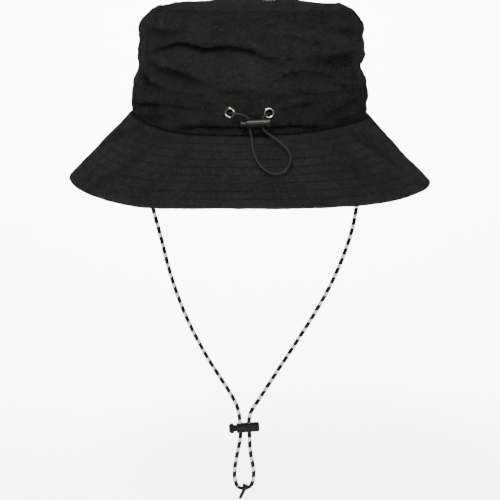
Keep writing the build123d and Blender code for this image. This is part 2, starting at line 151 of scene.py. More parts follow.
def grid_object(name, points, material, cloth_map=None, closed=True, flip=False, painted_shade=None):
    """Mesh of a grid of points, rows by columns.

    Face (row, column) joins its four neighbours. With closed, the last column meets the
    first. cloth_map gives each point's place on the flat cloth; where the grid closes, the
    last faces take the place one whole round further on, so the weave runs across the join.
    Painted shade, where given, is a value from 0 to 1 for each point, deepest in folds; the cloth materials darken
    their colour and dim their coat by it.
    """
    rows, columns = points.shape[:2]
    row, column = np.meshgrid(np.arange(rows - 1), np.arange(columns if closed else columns - 1), indexing="ij")
    after = (column + 1) % columns
    corners = np.stack([
        row * columns + column, row * columns + after,
        (row + 1) * columns + after, (row + 1) * columns + column,
    ], axis=-1).reshape(-1, 4)
    if flip:
        corners = corners[:, ::-1]
    mesh = bpy.data.meshes.new(name)
    mesh.from_pydata(points.reshape(-1, 3).tolist(), [], corners.tolist())
    if cloth_map is not None:
        flat = cloth_map.reshape(-1, 2)[corners].copy()
        if closed:
            across = np.ptp(flat[:, :, 0], axis=1) > 0.5 * np.ptp(cloth_map[..., 0])
            spacing = cloth_map[0, 1, 0] - cloth_map[0, 0, 0]
            whole = np.ptp(cloth_map[0, :, 0]) + spacing
            low_side = flat[:, :, 0] < cloth_map[..., 0].mean()
            flat[:, :, 0] += whole * (across[:, None] & low_side)
        layer = mesh.uv_layers.new(name="cloth")
        layer.data.foreach_set("uv", flat.reshape(-1).astype(np.float32))
    if painted_shade is not None:
        # Stored as the point attribute that the cloth materials read as painted shade.
        depth = mesh.attributes.new("painted_shade", "FLOAT", "POINT")
        depth.data.foreach_set("value", np.clip(painted_shade, 0.0, 1.0).reshape(-1).astype(np.float32))
    return finish_object(name, mesh, material)


def give_thickness(piece, thickness, offset=-1.0):
    """Close a sheet into cloth of a real thickness."""
    wall = piece.modifiers.new("cloth thickness", "SOLIDIFY")
    wall.thickness = thickness
    wall.offset = offset
    wall.use_even_offset = True
    return piece


def smooth_step(value):
    """0 below 0, 1 above 1, and an even S between them."""
    clipped = np.clip(value, 0.0, 1.0)
    return clipped * clipped * (3.0 - 2.0 * clipped)


def bump_of(distance, width):
    """Round bump: 1 at no distance, falling as a bell curve of that width."""
    return np.exp(-((distance / width) ** 2))


# %% [markdown]
# ## The head oval
# The hat is not round but oval: two wide arcs at the sides and two tighter arcs at the front
# and back, each tangent to the next. A place on the hat is given by how far round the oval it
# is, how far outside the oval, and how high. One function turns those three into a point.

# %% The head oval
band_low, band_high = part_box("casing_band")
BAND_OUT = 3.05 * MM
END_CENTRE = 24.0 * MM
END_RADIUS = band_high[1] - BAND_OUT - END_CENTRE
RADIUS_STEP = 40.0 * MM
SIDE_CENTRE = math.sqrt(RADIUS_STEP**2 - END_CENTRE**2)
SIDE_RADIUS = END_RADIUS + RADIUS_STEP
JOIN_ANGLE = math.atan2(END_CENTRE, SIDE_CENTRE)
SIDE_ARC = 2.0 * JOIN_ANGLE * SIDE_RADIUS
END_ARC = (math.pi - 2.0 * JOIN_ANGLE) * END_RADIUS
ROUND = 2.0 * (SIDE_ARC + END_ARC)
print("head opening round, mm:", round(ROUND / MM, 1))

# Distances round the oval at which one arc ends and the next begins, from the centre back
# towards +X, and the direction that the oval faces there.
ARC_STOPS = np.cumsum([0.0, END_ARC / 2, SIDE_ARC, END_ARC, SIDE_ARC, END_ARC / 2])
FACING_STOPS = np.array([
    -math.pi / 2, -JOIN_ANGLE, JOIN_ANGLE, math.pi - JOIN_ANGLE, math.pi + JOIN_ANGLE, 1.5 * math.pi,
])


def oval_point(around, outside, height):
    """Point of the hat.

    On each arc the facing angle grows evenly with the distance round. The point is the
    arc's centre plus (radius + outside) times the facing direction, at that height.
    """
    around, outside, height = np.broadcast_arrays(around, outside, height)
    facing = np.interp(np.mod(around, ROUND), ARC_STOPS, FACING_STOPS)
    face_x, face_y = np.cos(facing), np.sin(facing)
    on_side = np.abs(face_y) <= math.sin(JOIN_ANGLE) + 1e-9
    centre_x = np.where(on_side, -np.sign(face_x) * SIDE_CENTRE, 0.0)
    centre_y = np.where(on_side, 0.0, np.sign(face_y) * END_CENTRE)
    reach = np.where(on_side, SIDE_RADIUS, END_RADIUS) + outside
    return np.stack([centre_x + reach * face_x, centre_y + reach * face_y, height], axis=-1)


# The brim seam isn't level: it dips at the back and front and rises at the sides.
SEAM_DIP = np.array([
    (-290, -2.5), (-220, 0.5), (-160, 3.9), (-135, 4.2), (-105, 1.8), (-84, -0.4), (-66, -2.4), (-54, -3.5),
    (-35, -3.7), (0, -3.5), (20, -3.2), (38, -2.5), (50, -1.7), (60, -1.0), (90, 0.6), (125, 2.1), (160, 2.2),
    (220, 0.5), (290, -2.5),
]) * MM
CROWN_LEAN = 0.030


def from_table(table, around, easing=7.0 * MM):
    """Value at a distance round the oval, from a table of (around, value), softly eased."""
    here = signed_round(around)
    ease = np.linspace(-1.5, 1.5, 7) * easing
    weight = np.exp(-((ease / easing) ** 2))
    places = here[..., None] + ease
    places = np.mod(places + ROUND / 2, ROUND) - ROUND / 2
    return (np.interp(places, table[:, 0], table[:, 1]) * weight).sum(axis=-1) / weight.sum()


def lean_crown(points):
    """Shift points above the drawcord a little towards +X, in proportion to their height."""
    points[..., 0] += CROWN_LEAN * np.maximum(points[..., 2] - 0.012, 0.0)
    return points


def signed_round(around):
    """Distance round the oval from the centre back, negative towards -X."""
    return np.mod(around + ROUND / 2, ROUND) - ROUND / 2


def cloth_grid(columns, along):
    """Grids of distance round the oval and of distance along the cloth."""
    around = np.arange(columns) * ROUND / columns
    return np.meshgrid(around, along)[0], np.meshgrid(around, along)[1]


# %% [markdown]
# ## Folds and rumples
# Thin nylon never lies flat. Two kinds of shape make it look sewn. Rumples are many small
# waves in all directions, whole numbers of them round the hat so that they meet again at the
# back. Folds are drawn one by one: each is a short line on the cloth with a sharp valley and
# a soft roll above it.


# %% Folds and rumples
def rumples(around, along, seed, shortest, longest, lean=0.0, count=40):
    """Sum of plane waves of random heading, of about unit height.

    Each wave is sin(2 pi (turns * around / ROUND + climb * along) + phase); long waves are
    higher than short ones. lean pushes the headings towards waves that run upright (+1) or
    level (-1).
    """
    rng = np.random.default_rng(seed)
    total = np.zeros(np.broadcast(around, along).shape)
    power = 0.0
    for _ in range(count):
        wavelength = shortest * (longest / shortest) ** rng.random()
        heading = rng.uniform(0.0, math.pi)
        across = math.cos(heading) * (1.0 + lean)
        up = math.sin(heading) * (1.0 - lean)
        size = math.hypot(across, up) + 1e-9
        turns = round(ROUND / wavelength * across / size)
        climb = up / size / wavelength
        height = (wavelength / longest) ** 0.8
        phase = rng.uniform(0.0, 2.0 * math.pi)
        total += height * np.sin(2.0 * math.pi * (turns * around / ROUND + climb * along) + phase)
        power += height * height / 2.0
    return total / math.sqrt(power)


def creases(around, along, seed, shortest, longest, lean=0.0):
    """Sharp little ridges, one minus the size of a rumple, with its crests slightly rounded."""
    wave = rumples(around, along, seed, shortest, longest, lean)
    other = rumples(around, along, seed + 1, shortest, longest, lean)
    return 0.8 - np.sqrt(wave**2 + 0.03) + 0.35 * (0.8 - np.sqrt(other**2 + 0.03))


def fold(around, along, route, depth, width, roll=0.6, only_painted_shade=False):
    """One fold of the cloth, as a height: a valley along the route and a roll above it.

    route is a list of (around, along) points in millimetres, around counted from the centre
    back. The distance to the nearest stretch of the route gives the valley's bell curve,
    and the side on which a point lies decides whether the roll lifts it. Both die away
    towards the ends of the route. With the shade flag set, it gives instead the painted shade of the valley, from 0 to
    1, rather than a height.
    """
    here = np.stack(np.broadcast_arrays(signed_round(around), along), axis=-1) / MM
    nearest = np.full(here.shape[:-1], 1e9)
    level = np.zeros(here.shape[:-1])
    place = np.zeros(here.shape[:-1])
    points = np.array(route, float)
    spans = np.diff(points, axis=0)
    lengths = np.linalg.norm(spans, axis=1)
    travelled = 0.0
    for start, span, length in zip(points, spans, lengths):
        offset = here - start
        share = np.clip((offset @ span) / length**2, 0.0, 1.0)
        gap = offset - share[..., None] * span
        distance = np.linalg.norm(gap, axis=-1)
        closer = distance < nearest
        level = np.where(closer, np.sign(span[0] * offset[..., 1] - span[1] * offset[..., 0]), level)
        place = np.where(closer, (travelled + share * length) / lengths.sum(), place)
        nearest = np.minimum(distance, nearest)
        travelled += length
    fade = np.sin(math.pi * np.clip(place, 0.02, 0.98)) ** 0.6
    signed = nearest * level
    valley = bump_of(signed, np.where(signed > 0, 0.7 * width, 1.5 * width))
    # Painted shade of the valley, a little below its middle, for darkening the cloth.
    if only_painted_shade:
        return fade * bump_of(signed + 0.25 * width, np.where(signed > 0, 0.6 * width, 1.3 * width)) * min(1.0, 0.45 * depth)
    lifted = bump_of(signed - 2.2 * width, 1.7 * width)
    return depth * MM * fade * (roll * lifted - valley)


def painted_shade_of(around, along, folds, texture):
    """Painted shade for each place, 0 to 1: from the deepest fold valley there, and from the texture's own lows."""
    deepest = np.zeros(np.broadcast(around, along).shape)
    for route, depth, width, roll in folds:
        deepest = np.maximum(deepest, fold(around, along, route, depth, width, roll, only_painted_shade=True))
    # Painted shade also in the low places of the texture.
    lows = np.clip(0.14 - 0.11 * texture, 0.0, 0.7)
    return 1.0 - (1.0 - 0.72 * deepest) * (1.0 - lows)


# %% [markdown]
# ## Shared material effects
# Three effects are used by more than one material: the weave of a cloth, the crushed surface
# of crinkled nylon, and a fine grain for moulded plastic and metal. Each is a node group with
# its own inputs, built once.


# %% Node group helpers
def new_group(name, inputs, outputs):
    """Empty shader node group with float inputs (name, default) and named outputs (name, kind)."""
    group = bpy.data.node_groups.new(name, "ShaderNodeTree")
    for label, value in inputs:
        socket = group.interface.new_socket(label, in_out="INPUT", socket_type="NodeSocketFloat")
        socket.default_value = value
    for label, kind in outputs:
        group.interface.new_socket(label, in_out="OUTPUT", socket_type=kind)
    return group, group.nodes.new("NodeGroupInput"), group.nodes.new("NodeGroupOutput")


def math_node(tree, operation, first, second=None, third=None):
    """Math node on sockets or numbers; gives its output socket."""
    node = tree.nodes.new("ShaderNodeMath")
    node.operation = operation
    for slot, value in enumerate((first, second, third)):
        if value is None:
            continue
        if isinstance(value, (int, float)):
            node.inputs[slot].default_value = value
        else:
            tree.links.new(value, node.inputs[slot])
    return node.outputs[0]


def noise_node(tree, coordinates, scale, detail, roughness=0.5):
    """Noise texture on the given coordinates; gives its factor socket."""
    node = tree.nodes.new("ShaderNodeTexNoise")
    node.inputs["Scale"].default_value = scale
    node.inputs["Detail"].default_value = detail
    node.inputs["Roughness"].default_value = roughness
    tree.links.new(coordinates, node.inputs["Vector"])
    return node.outputs[0]


# %% The weave, crush and grain groups
def build_weave_group():
    """Plain weave on the cloth map: the product of two sine waves, one thread apart each way."""
    group, given, out = new_group("weave", [("Threads per metre", 2200.0)], [("Height", "NodeSocketFloat")])
    place = group.nodes.new("ShaderNodeUVMap")
    place.uv_map = "cloth"
    split = group.nodes.new("ShaderNodeSeparateXYZ")
    group.links.new(place.outputs[0], split.inputs[0])
    turn = math_node(group, "MULTIPLY", given.outputs[0], math.pi)
    waves = []
    for axis in (0, 1):
        phase = math_node(group, "MULTIPLY", split.outputs[axis], turn)
        waves.append(math_node(group, "SINE", phase))
    product = math_node(group, "MULTIPLY", waves[0], waves[1])
    height = math_node(group, "MULTIPLY_ADD", product, 0.5, 0.5)
    group.links.new(height, out.inputs[0])
    return group


def build_crush_group():
    """Crushed cloth: soft noise at three sizes, with the sharpest creases taken from ridges."""
    group, given, out = new_group(
        "crush", [("Fine share", 0.35)], [("Height", "NodeSocketFloat"), ("Patches", "NodeSocketFloat")]
    )
    place = group.nodes.new("ShaderNodeTexCoord").outputs["Object"]
    level = group.nodes.new("ShaderNodeVectorMath")
    level.operation = "MULTIPLY"
    level.inputs[1].default_value = (1.0, 1.0, 1.7)
    group.links.new(place, level.inputs[0])
    place = level.outputs[0]
    broad = noise_node(group, place, 80.0, 3.0, 0.6)
    middle = noise_node(group, place, 210.0, 3.0, 0.6)
    fine = noise_node(group, place, 1400.0, 2.0, 0.6)
    ridge = math_node(group, "ABSOLUTE", math_node(group, "SUBTRACT", middle, 0.5))
    ridge = math_node(group, "POWER", math_node(group, "MULTIPLY_ADD", ridge, -3.0, 1.0), 2.0)
    coarse = math_node(group, "MULTIPLY_ADD", ridge, 0.5, broad)
    height = math_node(group, "MULTIPLY_ADD", fine, given.outputs[0], coarse)
    group.links.new(height, out.inputs[0])
    group.links.new(math_node(group, "MULTIPLY_ADD", ridge, 0.4, math_node(group, "MULTIPLY", fine, 0.6)), out.inputs[1])
    return group


def build_grain_group():
    """Fine even grain on object coordinates, for mould texture and brushed plating."""
    group, given, out = new_group("grain", [("Scale", 3000.0)], [("Height", "NodeSocketFloat")])
    place = group.nodes.new("ShaderNodeTexCoord").outputs["Object"]
    node = group.nodes.new("ShaderNodeTexNoise")
    node.inputs["Detail"].default_value = 3.0
    group.links.new(place, node.inputs["Vector"])
    group.links.new(given.outputs[0], node.inputs["Scale"])
    group.links.new(node.outputs[0], out.inputs[0])
    return group


weave_group = build_weave_group()
crush_group = build_crush_group()
grain_group = build_grain_group()


def place_group(tree, group, **values):
    """Put a group into a material's tree, with its float inputs set; gives the node."""
    node = tree.nodes.new("ShaderNodeGroup")
    node.node_tree = group
    for label, value in values.items():
        node.inputs[label.replace("_", " ")].default_value = value
    return node


def start_material(name, roughness, metallic=0.0, specular=0.5):
    """Material with a Principled shader whose even values are set on its own sockets."""
    material = bpy.data.materials.new(name)
    material.use_nodes = True
    shader = material.node_tree.nodes["Principled BSDF"]
    shader.inputs["Roughness"].default_value = roughness
    shader.inputs["Metallic"].default_value = metallic
    shader.inputs["Specular IOR Level"].default_value = specular
    return material, material.node_tree, shader


def colour_between(tree, factor, first, second):
    """Mix of two colours by a factor socket; gives the colour socket."""
    ramp = tree.nodes.new("ShaderNodeValToRGB")
    ramp.color_ramp.elements[0].color = (*first, 1.0)
    ramp.color_ramp.elements[1].color = (*second, 1.0)
    ramp.color_ramp.elements[0].position = 0.3
    ramp.color_ramp.elements[1].position = 0.7
    tree.links.new(factor, ramp.inputs[0])
    return ramp.outputs[0]


def bump_chain(tree, shader, layers):
    """Bumps one on another. Each layer is (height socket, depth in metres)."""
    normal = None
    for height, depth in layers:
        bump = tree.nodes.new("ShaderNodeBump")
        bump.inputs["Distance"].default_value = depth
        tree.links.new(height, bump.inputs["Height"])
        if normal is not None:
            tree.links.new(normal, bump.inputs["Normal"])
        normal = bump.outputs["Normal"]
    tree.links.new(normal, shader.inputs["Normal"])
    return normal


# %% [markdown]
# ## Cloth materials
# The shell is black crinkled nylon: almost no colour, a broad soft shine and a faint sheen at
# grazing angles. The lining is smoother, the sweatband is a closer weave, and each takes its
# weave and crush from the same two groups with its own sizes.


# %% Cloth materials
def cloth_material(name, dark, light, roughness, threads, crush_depth, weave_depth, shine=0.3):
    """Woven cloth: colour and roughness drift with the crush, bump from crush and weave, and the mesh's painted shade
    darkens the colour and dims the coat.

    The yarns scatter most of the light that would glance off a smooth face, so the shine is
    a partial coat over a base that doesn't reflect.
    """
    material, tree, shader = start_material(name, roughness, specular=0.0)
    shader.inputs["Coat Weight"].default_value = shine
    shader.inputs["Coat Roughness"].default_value = roughness
    crush = place_group(tree, crush_group)
    weave = place_group(tree, weave_group, Threads_per_metre=threads)
    # Painted shade from the mesh: it darkens the base colour and dims the coat, most in folds.
    painted_shade = tree.nodes.new("ShaderNodeAttribute")
    painted_shade.attribute_name = "painted_shade"
    open_share = math_node(tree, "MULTIPLY_ADD", painted_shade.outputs["Fac"], -0.85, 1.0)
    shaded = tree.nodes.new("ShaderNodeVectorMath")
    shaded.operation = "SCALE"
    tree.links.new(colour_between(tree, crush.outputs["Patches"], dark, light), shaded.inputs[0])
    tree.links.new(open_share, shaded.inputs["Scale"])
    tree.links.new(shaded.outputs[0], shader.inputs["Base Color"])
    tree.links.new(math_node(tree, "MULTIPLY", open_share, shine), shader.inputs["Coat Weight"])
    rough = math_node(tree, "MULTIPLY_ADD", crush.outputs["Patches"], 0.16, roughness - 0.08)
    tree.links.new(rough, shader.inputs["Roughness"])
    normal = bump_chain(tree, shader, [(crush.outputs["Height"], crush_depth), (weave.outputs["Height"], weave_depth)])
    tree.links.new(normal, shader.inputs["Coat Normal"])
    return material


shell_cloth = cloth_material(
    "shell nylon", (0.0132, 0.0129, 0.0129), (0.0186, 0.0181, 0.0180), 0.46, 2600.0, 2.3 * MM, 0.05 * MM, 0.12,
)
# Painted light: the brim's copy of the shell nylon is lighter and a little shinier, because the sloping brim catches
# more of the lamps.
brim_cloth_painted_lighter = cloth_material(
    "shell nylon painted lighter for the brim", (0.0160, 0.0157, 0.0157), (0.0226, 0.0220, 0.0219), 0.46, 2600.0, 2.3 * MM, 0.05 * MM, 0.14,
)
# Painted shade: the top's copy of the shell nylon is darker and has less shine, so the top doesn't read as lit.
top_cloth_painted_darker = cloth_material(
    "shell nylon painted darker for the top", (0.0110, 0.0108, 0.0108), (0.0160, 0.0157, 0.0156), 0.6, 2600.0, 2.0 * MM, 0.05 * MM, 0.05,
)
lining_cloth = cloth_material(
    "lining cloth", (0.010, 0.010, 0.011), (0.014, 0.014, 0.015), 0.5, 3000.0, 0.25 * MM, 0.03 * MM,
)
stiffening_cloth = cloth_material(
    "stiffening cloth", (0.05, 0.05, 0.052), (0.075, 0.075, 0.078), 0.85, 1400.0, 0.2 * MM, 0.08 * MM,
)
band_cloth = cloth_material(
    "sweatband tape", (0.010, 0.010, 0.0105), (0.016, 0.016, 0.017), 0.72, 1500.0, 0.12 * MM, 0.12 * MM,
)
webbing = cloth_material(
    "tab webbing", (0.009, 0.009, 0.0092), (0.015, 0.015, 0.0155), 0.7, 1100.0, 0.10 * MM, 0.14 * MM, 0.05,
)
label_cloth = cloth_material(
    "woven label", (0.06, 0.06, 0.062), (0.085, 0.085, 0.088), 0.55, 2400.0, 0.05 * MM, 0.05 * MM, 0.4,
)


def thread_material():
    """Sewing thread: black, slightly shiny, with a fine grain."""
    material, tree, shader = start_material("sewing thread", 0.7, specular=0.05)
    grain = place_group(tree, grain_group, Scale=4000.0)
    tree.links.new(colour_between(tree, grain.outputs[0], (0.006, 0.006, 0.006), (0.011, 0.011, 0.011)),
                   shader.inputs["Base Color"])
    bump_chain(tree, shader, [(grain.outputs[0], 0.05 * MM)])
    return material


thread = thread_material()

# %% [markdown]
# ## Cords
# The chin strap is a round braid of black and white yarns, and the yarns are grouped so that
# black and white go round it as slanting stripes. The drawcord is a thin elastic with a dark
# grey braided cover. Each follows a smooth line through a few points, and the braid is made
# as real relief: two sets of ridges that wind round the cord in opposite directions.

# %% Cord routes
CHIN_CORD = 3.0 * MM
DRAWCORD = 1.1 * MM
STRIPE_PITCH = 7.9 * MM

chin_left_route = [
    (-83.1, 0, -3.5), (-83.1, 0, -13.0), (-81.0, 1.0, -34.0), (-73.6, 0.5, -65.0),
    (-65.2, -0.5, -96.0), (-59.8, -1.0, -120.0), (-48.5, -0.5, -152.5), (-32.5, 0.5, -184.5),
    (-17.0, 0.6, -208.5), (-9.6, 0.3, -221.5), (-7.56, 0, -230.33), (-6.89, 0, -239.8),
]
chin_right_route = [
    (83.1, 0, -3.5), (83.1, 0, -13.0), (83.6, 1.0, -36.0), (80.6, 0.6, -68.0),
    (75.8, -0.4, -92.5), (63.5, -1.2, -124.0), (49.5, -0.6, -150.0), (33.5, 0.4, -176.0),
    (18.5, 0.7, -199.5), (6.6, 0.4, -218.5), (-1.07, 0, -229.87), (-0.41, 0, -239.35),
]
end_left_route = [
    (-6.89, 0, -239.8), (-6.44, 0, -246.29), (-9.3, -0.2, -259.5), (-11.6, 0.2, -272.5),
    (-11.4, 0.6, -283.0), (-9.0, 0.2, -286.8),
]
end_right_route = [
    (-0.41, 0, -239.35), (0.04, 0, -245.83), (0.4, 0.3, -259.0), (3.2, -0.2, -271.5),
    (3.2, -0.5, -282.0), (0.8, 0, -286.2),
]
drawcord_route = [
    (-13.17, -101.18, 11.6), (-13.66, -104.04, 11.6), (-11.2, -106.6, 11.9), (-7.4, -107.2, 11.6),
    (-3.4, -107.1, 10.6), (-0.17, -107.0, 8.17), (0.25, -107.0, 0.18), (1.9, -113.0, -5.4),
    (2.3, -118.6, -11.8), (4.4, -123.6, -17.8), (9.4, -128.8, -24.0), (17.6, -131.6, -27.4),
    (25.6, -127.2, -24.0), (28.6, -119.0, -17.0), (25.0, -113.4, -10.6), (17.2, -110.2, -4.4),
    (8.44, -107.0, 0.61), (8.01, -107.0, 8.8), (11.6, -106.5, 11.1), (13.66, -104.04, 11.6),
    (13.17, -101.18, 11.6),
]


def smooth_line(name, route):
    """Points of the smooth line that a route steers, in metres, read from a NURBS curve."""
    data = bpy.data.curves.new(name, "CURVE")
    data.dimensions = "3D"
    data.resolution_u = 16
    spline = data.splines.new("NURBS")
    spline.points.add(len(route) - 1)
    for point, place in zip(spline.points, route):
        point.co = (place[0] * MM, place[1] * MM, place[2] * MM, 1.0)
    spline.order_u = 3
    spline.use_endpoint_u = True
    holder = bpy.data.objects.new(name, data)
    bpy.context.scene.collection.objects.link(holder)
    mesh = bpy.data.meshes.new_from_object(holder)
    line = np.empty(len(mesh.vertices) * 3)
    mesh.vertices.foreach_get("co", line)
    bpy.data.objects.remove(holder)
    bpy.data.curves.remove(data)
    bpy.data.meshes.remove(mesh)
    return line.reshape(-1, 3)


def even_line(line, spacing):
    """The same line with points a fixed distance apart; gives points and distances."""
    steps = np.linalg.norm(np.diff(line, axis=0), axis=1)
    distance = np.concatenate([[0.0], np.cumsum(steps)])
    count = max(8, int(round(distance[-1] / spacing)))
    wanted = np.linspace(0.0, distance[-1], count + 1)
    return np.stack([np.interp(wanted, distance, line[:, axis]) for axis in range(3)], axis=-1), wanted


def line_frames(points):
    """Directions along a line and two square to it, carried along the line without twisting."""
    ahead = np.gradient(points, axis=0)
    ahead /= np.linalg.norm(ahead, axis=1, keepdims=True)
    start = np.cross(ahead[0], [0.0, 0.0, 1.0] if abs(ahead[0][2]) < 0.9 else [0.0, 1.0, 0.0])
    across = [start / np.linalg.norm(start)]
    for direction in ahead[1:]:
        carried = across[-1] - direction * np.dot(direction, across[-1])
        across.append(carried / np.linalg.norm(carried))
    across = np.array(across)
    return ahead, across, np.cross(ahead, across)


def braided_cord(name, line, diameter, strands, lay, relief, material, sides=24, spacing=0.25 * MM):
    """Tube round a line with the relief of a braid.

    The surface is radius * (1 + relief * ridge), where ridge is the larger of two sets of
    ridges, cos(strands * angle + 2 pi distance / lay) and the same with the angle reversed.
    The ends are drawn together into round caps.
    """
    points, distance = even_line(line, spacing)
    ahead, across, upward = line_frames(points)
    angle = np.arange(sides) * 2.0 * math.pi / sides
    along = 2.0 * math.pi * distance[:, None] / lay
    ridge = np.maximum(np.cos(strands * angle + along), np.cos(strands * angle - along))
    total = distance[-1]
    to_end = np.minimum(distance, total - distance) / (0.35 * diameter)
    closing = np.sqrt(np.clip(1.0 - (1.0 - np.clip(to_end, 0.0, 1.0)) ** 2, 0.0004, 1.0))
    radius = diameter / 2.0 * (1.0 - 0.5 * relief + relief * ridge) * closing[:, None]
    circle = np.cos(angle)[:, None] * across[:, None, :] + np.sin(angle)[:, None] * upward[:, None, :]
    surface = points[:, None, :] + radius[:, :, None] * circle
    turn_map, length_map = np.meshgrid(angle / (2.0 * math.pi), distance)
    return grid_object(name, surface, material, np.stack([turn_map, length_map], axis=-1), flip=False), points


# %% Cord materials
def striped_braid_material():
    """Black and white braid: slanting marks that repeat at each stripe pitch.

    A point is white where the fraction of (length / pitch + 0.07 cos(2 pi turn)) is under
    the white share. The edge of each mark is broken by the yarns.
    """
    material, tree, shader = start_material("striped braid", 0.75, specular=0.15)
    place = tree.nodes.new("ShaderNodeUVMap")
    place.uv_map = "cloth"
    split = tree.nodes.new("ShaderNodeSeparateXYZ")
    tree.links.new(place.outputs[0], split.inputs[0])
    yarns = math_node(tree, "SINE", math_node(tree, "MULTIPLY", split.outputs[1], 2.0 * math.pi / (1.3 * MM)))
    ragged = math_node(tree, "MULTIPLY", yarns, 0.035)
    slant = math_node(tree, "COSINE", math_node(tree, "MULTIPLY", split.outputs[0], 2.0 * math.pi))
    slant = math_node(tree, "MULTIPLY", slant, 0.07)
    phase = math_node(tree, "MULTIPLY_ADD", split.outputs[1], 1.0 / STRIPE_PITCH, slant)
    share = math_node(tree, "FRACT", math_node(tree, "ADD", phase, ragged))
    stripe = tree.nodes.new("ShaderNodeValToRGB")
    stripe.color_ramp.interpolation = "CONSTANT"
    stripe.color_ramp.elements[0].color = (0.42, 0.42, 0.45, 1.0)
    stripe.color_ramp.elements[1].color = (0.006, 0.005, 0.005, 1.0)
    stripe.color_ramp.elements[1].position = 0.37
    tree.links.new(share, stripe.inputs[0])
    tree.links.new(stripe.outputs[0], shader.inputs["Base Color"])
    grain = place_group(tree, grain_group, Scale=5000.0)
    bump_chain(tree, shader, [(grain.outputs[0], 0.08 * MM)])
    return material


def elastic_material():
    """Elastic cord: dark grey cover, lighter on the yarns that stand out."""
    material, tree, shader = start_material("elastic cover", 0.6, specular=0.3)
    grain = place_group(tree, grain_group, Scale=3500.0)
    tree.links.new(colour_between(tree, grain.outputs[0], (0.012, 0.012, 0.012), (0.026, 0.026, 0.027)),
                   shader.inputs["Base Color"])
    bump_chain(tree, shader, [(grain.outputs[0], 0.06 * MM)])
    return material


striped_braid = striped_braid_material()
elastic_cover = elastic_material()

# %% The cords
chin_pieces = {}
for piece_name, route in (
    ("chin_cord_left_braid", chin_left_route), ("chin_cord_right_braid", chin_right_route),
    ("chin_cord_end_left_braid", end_left_route), ("chin_cord_end_right_braid", end_right_route),
):
    node = piece_name.replace("_braid", "")
    piece, path = braided_cord(
        piece_name, smooth_line(piece_name, route), CHIN_CORD, 8, 2.6 * MM, 0.07, striped_braid,
    )
    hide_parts(node)
    chin_pieces[node] = (piece, path)
    print(node, "length, mm:", round(np.linalg.norm(np.diff(path, axis=0), axis=1).sum() / MM, 1))

drawcord_piece, drawcord_path = braided_cord(
    "drawcord_free_loop", smooth_line("drawcord_free_loop", drawcord_route), DRAWCORD, 6, 1.5 * MM, 0.06,
    elastic_cover, sides=20, spacing=0.2 * MM,
)
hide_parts("drawcord_loop")
print("drawcord free length, mm:", round(np.linalg.norm(np.diff(drawcord_path, axis=0), axis=1).sum() / MM, 1))

# %% [markdown]
# ## The brim
# The brim is a sloping ring of two cloths with stiffening between them, quilted together by
# rows of topstitching that run round it. Each row pulls the cloths together, so the surface
# swells a little between rows and puckers along them. One function gives the surface at any
# distance round and down the slope, for the cloth and for the stitches alike.

# %% The brim's surface
BRIM_SLOPE = math.radians(46.2)
BRIM_LENGTH = 66.5 * MM
BRIM_LAYERS = 2.2 * MM
SLOPE_OUT, SLOPE_DOWN = math.cos(BRIM_SLOPE), math.sin(BRIM_SLOPE)
ROW_SPACING = 7.25 * MM
FIRST_ROW = 8.0 * MM
STITCH_ROWS = FIRST_ROW + ROW_SPACING * np.arange(8)

BRIM_FOLDS = [
    ([(-40, 12), (-52, 64)], 0.5, 4.0, 0.5),
    ([(-62, 6), (-78, 40), (-92, 66)], 0.6, 5.0, 0.5),
    ([(-96, 4), (-120, 24), (-146, 42)], 1.1, 4.0, 0.7),
    ([(72, 4), (88, 26), (104, 50)], 0.8, 5.0, 0.6),
    ([(46, 6), (60, 30), (64, 52)], 0.35, 5.0, 0.5),
    ([(118, 6), (138, 36), (160, 60)], 0.7, 5.0, 0.5),
    ([(190, 4), (206, 34), (214, 62)], 0.8, 5.0, 0.6),
    ([(-188, 4), (-214, 30), (-226, 62)], 0.8, 5.0, 0.6),
    ([(250, 6), (262, 40)], 0.6, 5.0, 0.6),
    ([(-256, 6), (-262, 44)], 0.6, 5.0, 0.6),
]


BRIM_EDGE_LIFT = np.array([
    (-290, 0.5), (-200, -0.6), (-150, 1.2), (-118, 1.2), (-90, 0.6), (-63, -1.6), (-51, -2.4), (-38, -1.4),
    (-28, 1.2), (-15, 2.4), (0, 2.4), (22, 2.2), (36, 0.8), (50, -0.8), (64, -1.4), (80, -0.3), (100, 1.2),
    (125, 1.8), (150, 1.7), (200, 0.2), (240, -0.9), (290, 0.5),
]) * MM
BRIM_EDGE_RISE = np.array([
    (-290, 0.0), (-200, 0.5), (-150, 3.0), (-130, 3.0), (-95, 1.0), (-60, 0.0), (60, 0.0), (100, -0.8),
    (130, -1.7), (155, -1.7), (220, 0.0), (290, 0.0),
]) * MM


def brim_texture(around, along):
    """Crumpling of the brim's cloth, in units of its own spread."""
    soft = rumples(around, along, 12, 12 * MM, 50 * MM, lean=0.2)
    crushed = creases(around, along, 14, 5 * MM, 18 * MM, lean=0.2)
    return 0.5 * soft + 0.5 * crushed


def brim_wave(around, along):
    """How far the brim stands off its plain slope: an edge that waves, and soft folds."""
    share = along / BRIM_LENGTH
    height = from_table(BRIM_EDGE_LIFT, around) * share**2
    height = height + 0.42 * MM * brim_texture(around, along) * (0.6 + 0.4 * share)
    for route, depth, width, roll in BRIM_FOLDS:
        height = height + fold(around, along, route, depth, width, roll)
    return height


def brim_rise(around, along):
    """How far the brim is raised: the seam's dip at one end, the edge's own droop at the other."""
    share = np.clip(along / BRIM_LENGTH, 0.0, 1.0)
    return from_table(SEAM_DIP, around) * (1.0 - share) + from_table(BRIM_EDGE_RISE, around) * share


